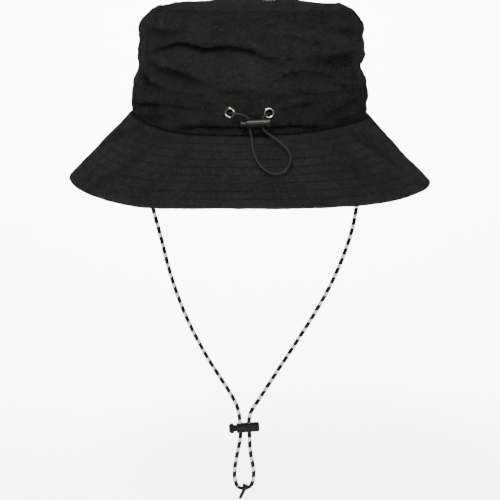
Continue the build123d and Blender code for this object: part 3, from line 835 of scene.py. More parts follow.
def brim_quilting(around, along):
    """Swelling between the rows of stitches: a rounded arch between rows, puckered at each row."""
    to_row = np.min(np.abs(along[..., None] - STITCH_ROWS), axis=-1)
    arch = 1.0 - 0.6 * bump_of(to_row, 1.6 * MM) - bump_of(to_row, 0.55 * MM)
    pucker = rumples(around, 0.3 * along, 13, 3.5 * MM, 9 * MM, lean=0.7) * bump_of(to_row, 2.6 * MM)
    return 0.20 * MM * arch + 0.10 * MM * pucker


def brim_point(around, along, lift):
    """Point on the slope: seam edge, plus distance down the slope, plus lift square to it."""
    around, along, lift = np.broadcast_arrays(around, along, lift)
    outside = BAND_OUT + along * SLOPE_OUT + lift * SLOPE_DOWN
    height = -0.2 * MM - along * SLOPE_DOWN + lift * SLOPE_OUT + brim_rise(around, along)
    return oval_point(around, outside, height)


def brim_upper_point(around, along):
    """Upper face: the wave and the quilting, tucked under at the seam and rolled in at the edge."""
    tuck = smooth_step(1.0 - along / (1.6 * MM))
    edge = np.clip((along - (BRIM_LENGTH - 1.4 * MM)) / (1.4 * MM), 0.0, 1.0)
    roll = (1.0 - np.sqrt(1.0 - 0.98 * edge**2)) * BRIM_LAYERS / 2.0
    lift = brim_wave(around, along) + brim_quilting(around, along) * (1.0 - tuck) - roll - 0.9 * MM * tuck
    return brim_point(around, along, lift)


def brim_under_point(around, along):
    """Under face: the same wave, with the quilting swelling downwards."""
    edge = np.clip((along - (BRIM_LENGTH - 1.4 * MM)) / (1.4 * MM), 0.0, 1.0)
    roll = (1.0 - np.sqrt(1.0 - 0.98 * edge**2)) * BRIM_LAYERS / 2.0
    lift = brim_wave(around, along) - BRIM_LAYERS - brim_quilting(around, along) + roll
    return brim_point(around, along, lift)


def brim_core_point(around, along):
    """Stiffening cloth, half way between the faces."""
    return brim_point(around, along, brim_wave(around, along) - BRIM_LAYERS / 2.0)


# %% The brim's cloths
brim_edge_rows = BRIM_LENGTH - 1.4 * MM * (1.0 - np.array([0.35, 0.65, 0.85, 0.96, 1.0]))
brim_rows = np.concatenate([np.linspace(0.0, BRIM_LENGTH - 1.4 * MM, 88), brim_edge_rows])
brim_around, brim_along = cloth_grid(760, brim_rows)
brim_map = np.stack([brim_around, brim_along], axis=-1)

to_row = np.min(np.abs(brim_along[..., None] - STITCH_ROWS), axis=-1)
# Painted shade in the brim's folds and crumples.
brim_painted_shade = painted_shade_of(brim_around, brim_along, BRIM_FOLDS, brim_texture(brim_around, brim_along))
# Painted shade along the stitch rows, broken up by noise.
broken = smooth_step(0.9 + 0.6 * rumples(brim_around, brim_along, 15, 5 * MM, 24 * MM))
brim_painted_shade = np.maximum(brim_painted_shade, 0.34 * broken * bump_of(to_row, 0.6 * MM))
# Painted shade along the seam at the brim's inner edge, under the band.
brim_painted_shade = np.maximum(brim_painted_shade, 0.6 * bump_of(brim_along, 1.6 * MM))
brim_top = grid_object("brim_upper_cloth", brim_upper_point(brim_around, brim_along), brim_cloth_painted_lighter, brim_map, flip=True,
                       painted_shade=brim_painted_shade)
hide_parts("brim_upper")
brim_base = grid_object("brim_under_cloth", brim_under_point(brim_around, brim_along), brim_cloth_painted_lighter, brim_map)
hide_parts("brim_under")
core_around, core_along = cloth_grid(360, np.linspace(1.0 * MM, BRIM_LENGTH - 2.0 * MM, 40))
brim_core = grid_object(
    "brim_stiffening", brim_core_point(core_around, core_along), stiffening_cloth,
    np.stack([core_around, core_along], axis=-1), flip=True,
)
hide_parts("brim_interlining")
give_thickness(brim_core, 0.5 * MM, 0.0)
for piece, slot_name in ((brim_top, "shell_fabric"), (brim_base, "shell_fabric"), (brim_core, "interlining")):
    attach(piece, "hat")

# %% [markdown]
# ## Stitches
# A topstitch is a short length of thread that comes up, lies along the cloth and goes down
# again. Thousands are needed, so each is a small tapered rod of a few faces, and all the
# stitches of one seam are one mesh, placed by whole-array arithmetic.


# %% Stitches
def stitches(name, seams, pitch=3.0 * MM, gap=0.6 * MM, thickness=0.42 * MM, body="hat"):
    """Rows of stitches lying on surfaces.

    seams is a list of functions that turn distance round the oval into points on the cloth,
    with the cloth's outward side given by a second function value at a small lift. A stitch
    runs along the seam for the pitch less the gap; its rod is thickest and highest in the
    middle and sinks into the cloth at both ends.
    """
    stations = np.array([-1.0, -0.55, 0.0, 0.55, 1.0])
    girth = np.array([0.25, 0.85, 1.0, 0.85, 0.25])
    sides = 6
    angle = np.arange(sides) * 2.0 * math.pi / sides
    all_points, count = [], 0
    for start, length, surface in seams:
        number = max(1, int(round(length / pitch)))
        middle = start + (np.arange(number) + 0.5) * length / number
        half = (length / number - gap) / 2.0
        here, lifted = surface(middle)
        ahead = surface(middle + half)[0] - surface(middle - half)[0]
        reach = np.linalg.norm(ahead, axis=-1, keepdims=True)
        ahead = ahead / reach
        out = lifted - here
        out = out - ahead * np.sum(out * ahead, axis=-1, keepdims=True)
        out = out / np.linalg.norm(out, axis=-1, keepdims=True)
        side = np.cross(ahead, out)
        height = thickness * (0.38 * (1.0 - stations**2) - 0.12)
        radius = thickness / 2.0 * girth
        along = stations[None, :, None] * reach[:, None, :] / 2.0 * ahead[:, None, :]
        spine = here[:, None, :] + along + height[None, :, None] * out[:, None, :]
        rim = np.cos(angle)[:, None] * side[:, None, None, :] + np.sin(angle)[:, None] * out[:, None, None, :]
        all_points.append((spine[:, :, None, :] + radius[None, :, None, None] * rim).reshape(-1, 3))
        count += number
    points = np.concatenate(all_points)
    station, turn = np.meshgrid(np.arange(len(stations) - 1), np.arange(sides), indexing="ij")
    after = (turn + 1) % sides
    quads = np.stack([
        station * sides + turn, (station + 1) * sides + turn,
        (station + 1) * sides + after, station * sides + after,
    ], axis=-1).reshape(-1, 4)
    block = len(stations) * sides
    quads = (quads[None] + np.arange(count)[:, None, None] * block).reshape(-1, 4)
    mesh = bpy.data.meshes.new(name)
    caps = np.array([list(range(sides)), list(range(block - 1, block - sides - 1, -1))])
    caps = (caps[None] + np.arange(count)[:, None, None] * block).reshape(-1, sides)
    mesh.from_pydata(points.tolist(), [], quads.tolist() + caps.tolist())
    piece = finish_object(name, mesh, thread)
    if body:
        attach(piece, body)
    print(name, "stitches:", count)
    return piece


def on_surface(surface, along, lift):
    """Seam function on a surface at one distance along it, with a point just off the cloth."""
    def seam(around):
        level = np.full(np.shape(around), along)
        here = surface(around, level)
        off = 0.5 * MM
        sideways = surface(around + off, level) - here
        down = surface(around, level + off) - here
        normal = np.cross(down, sideways) * lift
        return here, here + normal / np.linalg.norm(normal, axis=-1, keepdims=True) * off
    return seam


stitches("brim_topstitching", [
    (0.0, ROUND, on_surface(brim_upper_point, row, 1.0)) for row in STITCH_ROWS
])
stitches("under_brim_stitching", [
    (0.0, ROUND, on_surface(brim_under_point, row, -1.0)) for row in STITCH_ROWS
])

# %% [markdown]
# ## The crown
# The side panel is a strip of cloth gathered into the casing below and the top panel above,
# so it puffs over the casing and falls into deep slanting folds. Its profile is drawn from
# the lower seam to the top seam, and folds, rumples and gathers are added square to it.

# %% The crown's surface
CROWN_PROFILE = np.array([
    (1.4, 24.0), (1.9, 25.2), (1.3, 27.5), (-0.6, 31.5), (-1.4, 36.0), (-1.4, 43.0), (-1.4, 50.0), (-1.5, 57.0),
    (-1.8, 63.0), (-3.2, 68.5), (-5.8, 73.3), (-9.0, 76.8), (-11.4, 78.6),
]) * MM


def profile_curve(profile, samples):
    """Smooth curve through a few profile points: each coordinate eased by a running average."""
    steps = np.linalg.norm(np.diff(profile, axis=0), axis=1)
    distance = np.concatenate([[0.0], np.cumsum(steps)])
    fine = np.linspace(0.0, distance[-1], samples)
    curve = np.stack([np.interp(fine, distance, profile[:, axis]) for axis in range(2)], axis=-1)
    span = samples // 24
    window = np.hanning(2 * span + 1)
    window /= window.sum()
    padded = np.concatenate([2 * curve[0] - curve[span:0:-1], curve, 2 * curve[-1] - curve[-2:-span - 2:-1]])
    eased = np.stack([np.convolve(padded[:, axis], window, "valid") for axis in range(2)], axis=-1)
    return eased, fine


crown_curve, crown_distance = profile_curve(CROWN_PROFILE, 480)
CROWN_LENGTH = crown_distance[-1]
crown_tangent = np.gradient(crown_curve, axis=0)
crown_tangent /= np.linalg.norm(crown_tangent, axis=1, keepdims=True)

CROWN_FOLDS = [
    ([(-100, 49), (-80, 53), (-60, 58), (-50, 58), (-36, 55), (-17, 57), (0, 54), (6, 51), (10, 49), (28, 48)], 3.6, 2.0, 0.8),
    ([(-112, 67), (-80, 66), (-51, 65)], 1.7, 3.5, 0.8),
    ([(-100, 44), (-80, 40), (-60, 38), (-44, 35), (-25, 29)], 2.2, 3.0, 0.8),
    ([(10, 64), (28, 64), (44, 60), (69, 57)], 1.0, 2.6, 0.7),
    ([(34, 49), (60, 48), (83, 49), (109, 51)], 2.0, 4.5, 0.8),
    ([(15, 33), (28, 38), (40, 40), (50, 38), (66, 34)], 1.3, 2.4, 0.8),
    ([(-28, 27), (-10, 26.5), (10, 27)], 1.6, 1.6, 0.6),
    ([(24, 27), (36, 26.5), (50, 26)], 1.3, 1.6, 0.6),
    ([(70, 30), (86, 27), (104, 26)], 1.2, 2.2, 0.7),
    ([(-112, 34), (-92, 29), (-66, 26)], 1.9, 2.4, 0.8),
    ([(60, 70), (84, 66), (110, 62)], 1.2, 3.2, 0.7),
    ([(-30, 72), (-16, 70), (0, 72)], 0.6, 2.2, 0.5),
    ([(130, 60), (160, 56), (196, 60)], 1.8, 3.4, 0.8),
    ([(120, 40), (150, 36), (178, 30)], 1.9, 3.2, 0.8),
    ([(180, 46), (214, 50), (244, 44)], 1.9, 3.0, 0.8),
    ([(222, 32), (250, 36), (284, 31)], 1.7, 3.0, 0.8),
    ([(250, 62), (276, 58), (289, 60)], 1.5, 3.4, 0.8),
    ([(-289, 52), (-262, 55), (-236, 49)], 2.0, 3.0, 0.8),
    ([(-240, 36), (-212, 32), (-186, 36)], 1.8, 3.0, 0.8),
    ([(-206, 60), (-176, 64), (-140, 58)], 1.7, 3.4, 0.8),
    ([(-176, 46), (-150, 42), (-124, 36)], 1.9, 3.0, 0.8),
]


def crown_height_of(along):
    """Height of the plain profile at a distance along it."""
    return np.interp(along, crown_distance, crown_curve[:, 1])


def crown_texture(around, along):
    """Crumpling of the side panel, mostly in level creases, in units of its own spread."""
    broad = rumples(around, along, 21, 14 * MM, 50 * MM, lean=-0.55)
    middle = creases(around, along, 22, 8 * MM, 26 * MM, lean=-0.6)
    fine = creases(around, along, 25, 3.6 * MM, 9 * MM, lean=-0.45)
    return 0.40 * broad + 0.55 * middle + 0.36 * fine


def crown_relief(around, along):
    """Folds, rumples and gathers of the side panel, quiet at both seams."""
    height = crown_height_of(along)
    free = smooth_step(along / (5 * MM)) * smooth_step((CROWN_LENGTH - along) / (6 * MM))
    total = 0.0
    for route, depth, width, roll in CROWN_FOLDS:
        total = total + fold(around, height, route, depth, width, roll)
    total = total + 0.85 * MM * crown_texture(around, along)
    gathers = rumples(around, 0.15 * along, 26, 6 * MM, 18 * MM, lean=0.9)
    at_foot = bump_of(along, 7 * MM)
    at_top = bump_of(CROWN_LENGTH - along, 6 * MM)
    return total * free + gathers * MM * (0.34 * at_foot + 0.26 * at_top)


def crown_point(around, along, inset=0.0):
    """Point of the side panel: the profile plus the relief less an inset, square to it."""
    lift = crown_relief(around, along) - inset
    out = np.interp(along, crown_distance, crown_curve[:, 0])
    height = np.interp(along, crown_distance, crown_curve[:, 1])
    lean_out = np.interp(along, crown_distance, crown_tangent[:, 1])
    lean_up = -np.interp(along, crown_distance, crown_tangent[:, 0])
    return lean_crown(oval_point(around, out + lift * lean_out, height + lift * lean_up))


# %% The crown's side cloths
side_around, side_along = cloth_grid(590, np.linspace(0.0, CROWN_LENGTH, 84))
side_map = np.stack([side_around, side_along], axis=-1)
# Painted shade in the side panel's folds and crumples, at 0.85 strength.
side_painted_shade = 0.85 * painted_shade_of(
    side_around, crown_height_of(side_along), CROWN_FOLDS, crown_texture(side_around, side_along),
)
crown_side = grid_object("crown_side_cloth", crown_point(side_around, side_along), shell_cloth, side_map, painted_shade=side_painted_shade)
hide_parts("crown_side")
give_thickness(crown_side, 0.35 * MM)
lining_around, lining_along = cloth_grid(420, np.linspace(0.0, CROWN_LENGTH, 44))
crown_lining = grid_object(
    "crown_side_lining_cloth", crown_point(lining_around, lining_along, 1.1 * MM), lining_cloth,
    np.stack([lining_around, lining_along], axis=-1),
)
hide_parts("crown_side_lining")
give_thickness(crown_lining, 0.25 * MM)

# %% [markdown]
# ## The top panel
# The top is an oval of the same cloth, slightly domed and drawn up into a soft ridge where it
# is sewn to the side panel. Its points run from the seam to a single point in the middle.

# %% The top panel
TOP_OUT, TOP_SEAM_HEIGHT = CROWN_PROFILE[-1]
top_box_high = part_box("crown_top")[1]
TOP_RISE = top_box_high[2] - TOP_SEAM_HEIGHT


def top_point(around, share, inset=0.0):
    """Point of the top panel at a share of the way from the middle to the seam.

    The outline shrinks evenly towards the middle. The height is a flat dome with a soft
    ridge near the seam and rumples that fade out at the pole.
    """
    edge = oval_point(around, TOP_OUT - 0.2 * MM, 0.0)
    flat_x, flat_y = edge[..., 0] * share, edge[..., 1] * share
    dome = TOP_RISE * (1.0 - share**3.2)
    ridge = 1.1 * MM * bump_of(share - 0.955, 0.035) - 0.3 * MM * bump_of(share - 1.0, 0.012)
    waves = np.zeros(np.shape(flat_x))
    rng = np.random.default_rng(31)
    for _ in range(46):
        length = rng.uniform(9, 55) * MM
        turn, phase = rng.uniform(0, 2 * math.pi, 2)
        waves += (length / (55 * MM)) * np.sin(2 * math.pi * (flat_x * np.cos(turn) + flat_y * np.sin(turn)) / length + phase)
    calm = smooth_step((1.0 - share) / 0.06)
    gathers = rumples(around, np.zeros(np.shape(around)), 32, 7 * MM, 20 * MM, lean=0.9) * bump_of(share - 1.0, 0.07)
    height = TOP_SEAM_HEIGHT + dome + ridge + 0.22 * MM * waves * calm + 0.22 * MM * gathers - inset
    return lean_crown(np.stack([flat_x, flat_y, height], axis=-1))


def top_object(name, inset, material, columns, rings):
    """Top panel as a closed disc: a grid from the seam inwards, its last ring one point."""
    share = np.concatenate([1.0 - 0.1 * np.linspace(0.0, 1.0, 12), np.linspace(0.9, 0.004, rings)[1:]])
    around, shares = cloth_grid(columns, share)
    points = top_point(around, shares, inset)
    flat_map = top_point(around, shares)[..., :2]
    return grid_object(name, points, material, flat_map, flip=False)


def fill_pole(piece, columns):
    """Close the small hole in the middle of a disc with one face."""
    mesh = piece.data
    first = len(mesh.vertices) - columns
    work = bmesh.new()
    work.from_mesh(mesh)
    work.verts.ensure_lookup_table()
    face = work.faces.new([work.verts[first + step] for step in range(columns)])
    face.smooth = True
    work.to_mesh(mesh)
    work.free()


crown_top = top_object("crown_top_cloth", 0.0, top_cloth_painted_darker, 720, 56)
fill_pole(crown_top, 720)
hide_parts("crown_top")
give_thickness(crown_top, 0.35 * MM)
top_lining = top_object("crown_top_lining_cloth", 1.1 * MM, lining_cloth, 360, 30)
fill_pole(top_lining, 360)
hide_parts("crown_top_lining")
give_thickness(top_lining, 0.25 * MM)

# %% [markdown]
# ## The casing band
# The band is a folded strip that carries the drawcord. It swells softly between its two
# seams, is drawn in where the eyelets clamp it, and has a joining seam at the centre back.

# %% The casing band
BAND_PROFILE = np.array([
    (1.8, -0.6), (2.6, 0.0), (2.8, 1.6), (2.9, 5.0), (3.0, 10.0), (2.7, 15.0), (2.4, 19.5), (2.0, 22.3), (1.8, 23.6), (1.0, 24.3),
]) * MM
band_curve, band_distance = profile_curve(BAND_PROFILE, 240)
BAND_LENGTH = band_distance[-1]
eyelet_boxes = {side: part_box("eyelet_" + side) for side in ("left", "right")}
eyelet_height = (eyelet_boxes["left"][0][2] + eyelet_boxes["left"][1][2]) / 2.0
eyelet_reach = (eyelet_boxes["right"][0][0] + eyelet_boxes["right"][1][0]) / 2.0
EYELET_ROUND = END_RADIUS * math.asin(eyelet_reach / (END_RADIUS + BAND_OUT))
print("eyelets lie, mm round from the back:", round(EYELET_ROUND / MM, 2), "height:", round(eyelet_height / MM, 2))

BAND_FOLDS = [
    ([(-124, 13.5), (-104, 12.6), (-84, 14.2), (-64, 14.6)], 2.2, 1.9, 0.9),
    ([(-76, 15.0), (-58, 14.6), (-42, 13.6), (-24, 13.2)], 1.2, 1.4, 0.7),
    ([(-54, -1.8), (-44, 0.4), (-34, 1.9), (-20, 2.0), (-7, 1.6), (8, 1.8)], 1.9, 1.3, 1.0),
    ([(4, 1.8), (19, 2.4), (32, 2.4), (46, 1.2), (58, 0.2)], 1.8, 1.3, 1.0),
    ([(20, 13.2), (27, 15.6), (36, 16.6), (50, 17.6)], 1.3, 1.8, 0.6),
    ([(4, 17.5), (9, 18.6), (22, 19.7)], 0.6, 1.3, 0.5),
    ([(50, 9.0), (64, 10.6), (80, 14.0), (101, 18.8)], 1.2, 2.6, 0.8),
    ([(-34, 18.0), (-24, 16.5), (-18, 14.5)], 0.7, 1.3, 0.5),
    ([(-96, 2.0), (-80, 5.5), (-62, 8.0)], 0.9, 2.0, 0.7),
    ([(-72, 3.0), (-66, 7.0), (-62, 12.0)], 0.7, 1.6, 0.5),
    ([(-60, 5.0), (-55, 9.0), (-54, 12.0)], 0.5, 1.4, 0.5),
    ([(62, 4.0), (84, 4.5), (108, 8.0)], 1.0, 2.0, 0.8),
    ([(120, 8.0), (146, 12.0), (176, 9.0)], 1.2, 2.4, 0.7),
    ([(190, 15.0), (222, 11.0), (250, 14.0)], 1.2, 2.4, 0.7),
    ([(262, 6.0), (280, 9.0), (289, 8.0)], 1.0, 2.4, 0.7),
    ([(-286, 14.0), (-258, 10.0), (-230, 13.0)], 1.2, 2.4, 0.7),
    ([(-214, 8.0), (-186, 12.0), (-140, 9.0)], 1.2, 2.4, 0.7),
]


def band_height(around, along):
    """Height on the band: the profile's, with its lower part drawn down to the dipping seam."""
    height = np.interp(along, band_distance, band_curve[:, 1])
    return height + from_table(SEAM_DIP, around) * (1.0 - smooth_step((height + 0.6 * MM) / (15 * MM)))


def band_texture(around, along):
    """Crumpling of the band, in units of its own spread."""
    return 0.5 * rumples(around, along, 41, 8 * MM, 30 * MM, lean=-0.3) + 0.5 * creases(around, along, 42, 4 * MM, 14 * MM, lean=-0.2)


def band_relief(around, along):
    """Folds and puckers of the band, none under an eyelet and a valley down the back seam."""
    height = band_height(around, along)
    here = signed_round(around)
    free = smooth_step(along / (2.5 * MM)) * smooth_step((BAND_LENGTH - along) / (3 * MM))
    total = 0.0
    for route, depth, width, roll in BAND_FOLDS:
        total = total + fold(around, height, route, depth, width, roll)
    total = total + 0.5 * MM * band_texture(around, along)
    gathers = rumples(around, 0.1 * along, 43, 4 * MM, 11 * MM, lean=0.9)
    total = total * free + 0.10 * MM * gathers * (bump_of(along - 2 * MM, 4 * MM) + bump_of(BAND_LENGTH - along, 5 * MM))
    seam = -0.45 * MM * bump_of(here + 0.7 * MM, 0.55 * MM) - 0.3 * MM * bump_of(here - 3.9 * MM, 0.45 * MM)
    above_eyelets = smooth_step((height - 12 * MM) / (4 * MM))
    total = total + seam * free * above_eyelets
    total = total - 0.35 * MM * bump_of(along - 2.6 * MM, 0.5 * MM)
    plain = np.interp(along, band_distance, band_curve[:, 0]) - BAND_OUT
    for side in (-1.0, 1.0):
        gap = np.hypot(here - side * EYELET_ROUND, height - eyelet_height)
        rays = 0.14 * MM * np.sin(7 * np.arctan2(height - eyelet_height, here - side * EYELET_ROUND) + side)
        total = total + rays * bump_of(gap - 6.5 * MM, 3.0 * MM)
        hold = 1.0 - smooth_step((gap - 3.6 * MM) / (2.6 * MM))
        total = total * (1.0 - hold) - (plain + 0.02 * MM) * hold
    inner_limit = 1.1 * MM + 1.2 * MM * bump_of(height - eyelet_height, 2.0 * MM) - plain - BAND_OUT
    total = inner_limit + np.logaddexp(0.0, (total - inner_limit) / (0.15 * MM)) * 0.15 * MM
    behind_lock = bump_of(here - 4 * MM, 18 * MM) * bump_of(height - 5 * MM, 11 * MM)
    total = np.minimum(total, 0.15 * MM + 0.9 * MM * (1.0 - behind_lock))
    return total - 1.5 * MM * (1.0 - smooth_step((to_eyelet(around, height) - 1.5 * MM) / (0.5 * MM)))


def to_eyelet(around, height):
    """Distance on the cloth from the nearer eyelet's middle."""
    return np.hypot(np.abs(signed_round(around)) - EYELET_ROUND, height - eyelet_height)


def band_point(around, along):
    """Point of the casing band: its swollen profile plus the relief."""
    out = np.interp(along, band_distance, band_curve[:, 0])
    return lean_crown(oval_point(around, out + band_relief(around, along), band_height(around, along)))


band_around, band_along = cloth_grid(960, np.linspace(0.0, BAND_LENGTH, 52))
# Painted shade in the band's folds and crumples.
band_painted_shade = painted_shade_of(band_around, band_height(band_around, band_along), BAND_FOLDS, band_texture(band_around, band_along))
# Painted shade filling the cloth inside each eyelet's hole.
hole = 1.0 - smooth_step((to_eyelet(band_around, band_height(band_around, band_along)) - 2.2 * MM) / (0.6 * MM))
# Painted shade along the two valleys of the back seam.
back_seam = 0.40 * bump_of(signed_round(band_around) + 0.7 * MM, 0.9 * MM) + 0.30 * bump_of(signed_round(band_around) - 3.9 * MM, 0.8 * MM)
# Every point of the band gets at least 0.15 painted shade, so the whole band reads darker than the crown.
band_painted_shade = np.maximum(np.maximum(0.15 + 0.85 * band_painted_shade, back_seam), hole)
casing = grid_object("casing_band_cloth", band_point(band_around, band_along), shell_cloth,
                     np.stack([band_around, band_along], axis=-1), painted_shade=band_painted_shade)
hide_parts("casing_band")
give_thickness(casing, 0.35 * MM)

# %% [markdown]
# ## Sweatband and label
# Inside, a twill tape lines the head opening, stitched along both edges, and carries a small
# blank woven label at the back.

# %% Sweatband and label
SWEAT_LOW, SWEAT_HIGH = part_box("sweatband")[0][2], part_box("sweatband")[1][2]


def sweatband_point(around, along, lift=0.0):
    """Inner face of the tape: upright and swelling inwards, its foot drawn out to the dipping seam."""
    share = along / (SWEAT_HIGH - SWEAT_LOW)
    swell = 0.5 * MM * np.sin(math.pi * np.clip(share, 0.0, 1.0)) ** 0.7
    ripple = 0.10 * MM * rumples(around, along, 51, 8 * MM, 40 * MM, lean=0.6)
    foot = 1.1 * MM * (1.0 - smooth_step(share / 0.35))
    to_seam = (from_table(SEAM_DIP, around) - 1.8 * MM - SWEAT_LOW) * (1.0 - smooth_step(share / 0.9))
    return oval_point(around, 0.5 * MM - swell - ripple - lift + foot, SWEAT_LOW + along + to_seam)


tape_around, tape_along = cloth_grid(480, np.linspace(0.0, SWEAT_HIGH - SWEAT_LOW, 24))
sweatband = grid_object("sweatband_tape", sweatband_point(tape_around, tape_along), band_cloth,
                        np.stack([tape_around, tape_along], axis=-1), flip=True)
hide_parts("sweatband")
give_thickness(sweatband, 0.4 * MM)

label_low, label_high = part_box("size_label")
LABEL_WIDTH, LABEL_HEIGHT = 26.0 * MM, label_high[2] - label_low[2]
label_around, label_along = np.meshgrid(
    np.linspace(-LABEL_WIDTH / 2, LABEL_WIDTH / 2, 60),
    np.linspace(label_low[2] - SWEAT_LOW, label_high[2] - SWEAT_LOW, 36),
)
label_edge = np.minimum(LABEL_WIDTH / 2 - np.abs(label_around), np.minimum(label_along - label_along.min(), label_along.max() - label_along))
label_bow = 0.25 * MM * smooth_step(label_edge / (3 * MM)) + 0.08 * MM * rumples(label_around, label_along, 52, 5 * MM, 15 * MM)
size_label = grid_object("blank_size_label", sweatband_point(label_around, label_along, 0.35 * MM + label_bow), label_cloth,
                         np.stack([label_around, label_along], axis=-1), closed=False, flip=True)
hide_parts("size_label")
give_thickness(size_label, 0.25 * MM)

for piece, slot_name in (
    (crown_side, "shell_fabric"), (crown_top, "shell_fabric"), (casing, "shell_fabric"),
    (crown_lining, "lining_fabric"), (top_lining, "lining_fabric"),
    (sweatband, "sweatband_fabric"), (size_label, "label_fabric"),
):
    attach(piece, "hat")

stitches("crown_and_band_stitching", [
    (0.0, ROUND, on_surface(band_point, BAND_LENGTH - 2.4 * MM, -1.0)),
    (0.0, ROUND, on_surface(band_point, 2.3 * MM, -1.0)),
    (0.0, ROUND, on_surface(crown_point, CROWN_LENGTH - 2.2 * MM, -1.0)),
])
stitches("sweatband_stitching", [
    (0.0, ROUND, on_surface(sweatband_point, 1.6 * MM, 1.0)),
    (0.0, ROUND, on_surface(sweatband_point, SWEAT_HIGH - SWEAT_LOW - 1.6 * MM, 1.0)),
])

# %% [markdown]
# ## Metal and plastic
# The eyelets are nickel plated, the drawcord lock is a fairly glossy moulding and the chin
# lock a matt one. Their shapes come from the rigid model, so they only need materials.


# %% Metal and plastic
def moulded_material(name, colour, light_colour, roughness, grain_scale, depth, coat):
    """Moulded plastic: near-even colour, fine mould texture, roughness that drifts with it."""
    material, tree, shader = start_material(name, roughness, specular=0.2)
    shader.inputs["Coat Weight"].default_value = coat
    shader.inputs["Coat Roughness"].default_value = roughness
    grain = place_group(tree, grain_group, Scale=grain_scale)
    tree.links.new(colour_between(tree, grain.outputs[0], colour, light_colour), shader.inputs["Base Color"])
    tree.links.new(math_node(tree, "MULTIPLY_ADD", grain.outputs[0], 0.2, roughness - 0.1), shader.inputs["Roughness"])
    bump_chain(tree, shader, [(grain.outputs[0], depth)])
    return material


def metal_material(name, colour, light_colour, roughness, grain_scale):
    """Plated metal: full metallic, fine brushed grain in roughness and bump."""
    material, tree, shader = start_material(name, roughness, metallic=1.0)
    grain = place_group(tree, grain_group, Scale=grain_scale)
    tree.links.new(colour_between(tree, grain.outputs[0], colour, light_colour), shader.inputs["Base Color"])
    tree.links.new(math_node(tree, "MULTIPLY_ADD", grain.outputs[0], 0.2, roughness - 0.1), shader.inputs["Roughness"])
    bump_chain(tree, shader, [(grain.outputs[0], 0.02 * MM)])
    return material


nickel = metal_material("nickel plate", (0.62, 0.57, 0.47), (0.76, 0.71, 0.60), 0.22, 2500.0)
# Painted shade: nickel made nearly black, so the eyelet barrels read as the dark inside of the holes; the hidden
# washers take it too.
nickel_painted_dark = metal_material("nickel painted dark", (0.05, 0.045, 0.04), (0.08, 0.075, 0.065), 0.5, 2500.0)
spring_wire = metal_material("spring wire", (0.4, 0.4, 0.41), (0.55, 0.55, 0.55), 0.3, 4000.0)
gloss_plastic = moulded_material("half-glossy lock plastic", (0.007, 0.007, 0.006), (0.011, 0.011, 0.009), 0.36, 2500.0, 0.02 * MM, 0.30)
matt_plastic = moulded_material("matt lock plastic", (0.006, 0.0058, 0.0055), (0.010, 0.0097, 0.0092), 0.55, 3500.0, 0.05 * MM, 0.10)

NODE_MATERIALS = {
    nickel_painted_dark: ("eyelet_washer_left", "eyelet_washer_right"),
    spring_wire: ("chin_lock_spring", "drawcord_lock_spring"),
    gloss_plastic: ("drawcord_lock_barrel", "drawcord_lock_plunger"),
    matt_plastic: ("chin_lock_barrel", "chin_lock_plunger"),
}
for material, names in NODE_MATERIALS.items():
    for name in names:
        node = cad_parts[name]
        node.data.materials.clear()
        node.data.materials.append(material)

# %% [markdown]
# ## The knot
# Both chin cords end in one small overhand knot. It is drawn as a cord that goes once and a
# half round itself, with a plain black tail cut square below it.

# %% The knot
KNOT_MIDDLE = np.array([-4.1, 0.1, -287.0]) * MM
turn = np.linspace(0.0, 1.25 * 2.0 * math.pi, 60)
knot_loop = KNOT_MIDDLE + MM * np.stack([
    -0.9 + 2.6 * turn / turn[-1] - 0.35 * 2.0 * np.cos(turn + 2.4), 1.9 * np.sin(turn + 2.4), 0.3 + 1.7 * np.cos(turn + 2.4),
], axis=-1)
knot_tail = KNOT_MIDDLE + MM * np.array([
    (2.0, -0.4, 1.8), (1.5, -2.0, 1.5), (0.6, -2.6, -0.2), (-0.6, -1.8, -2.8), (-2.0, -0.7, -6.0), (-3.4, -0.2, -9.2),
])


def black_braid_material():
    """The same braid where it is all black."""
    material, tree, shader = start_material("black braid", 0.75, specular=0.25)
    grain = place_group(tree, grain_group, Scale=5000.0)
    tree.links.new(colour_between(tree, grain.outputs[0], (0.004, 0.004, 0.004), (0.010, 0.010, 0.010)),
                   shader.inputs["Base Color"])
    bump_chain(tree, shader, [(grain.outputs[0], 0.08 * MM)])
    return material


black_braid = black_braid_material()
knot_bridge_line = KNOT_MIDDLE + MM * np.array([
    (-5.6, 0.1, 0.9), (-4.2, 0.1, -0.3), (-1.8, 0.1, -1.0), (1.0, 0.1, -0.9), (3.6, 0.0, -0.1), (5.4, -0.1, 1.2),
])
for part_name, line, width in (
    ("chin_knot_wrap", knot_loop, 1.8 * MM), ("chin_knot_tail", knot_tail, 2.7 * MM),
    ("chin_knot_bridge", knot_bridge_line, 2.7 * MM),
):
    part, _ = braided_cord(part_name, smooth_line(part_name, line / MM), width, 6, 2.2 * MM, 0.07, black_braid)
    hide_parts("chin_cord_knot")
    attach(part, "chin_strap")

# %% [markdown]
# ## The lock springs
# Each lock's spring is given a mesh of its own.

# %% The lock springs
for lock, tilt in (("chin_lock", 4.0), ("drawcord_lock", 3.0)):
    wire = bpy.data.objects[lock + "_spring"]
    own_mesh(wire)

# %% [markdown]
# ## The cord tabs and the cord in the casing
# Each chin cord is sewn into a short end of webbing that hangs from the brim seam. The webbing
# is woven flat, so it is made as a flat rounded section with ribs across it, nipped where the
# stitches cross it. The elastic runs on inside the casing from one eyelet round to the other.


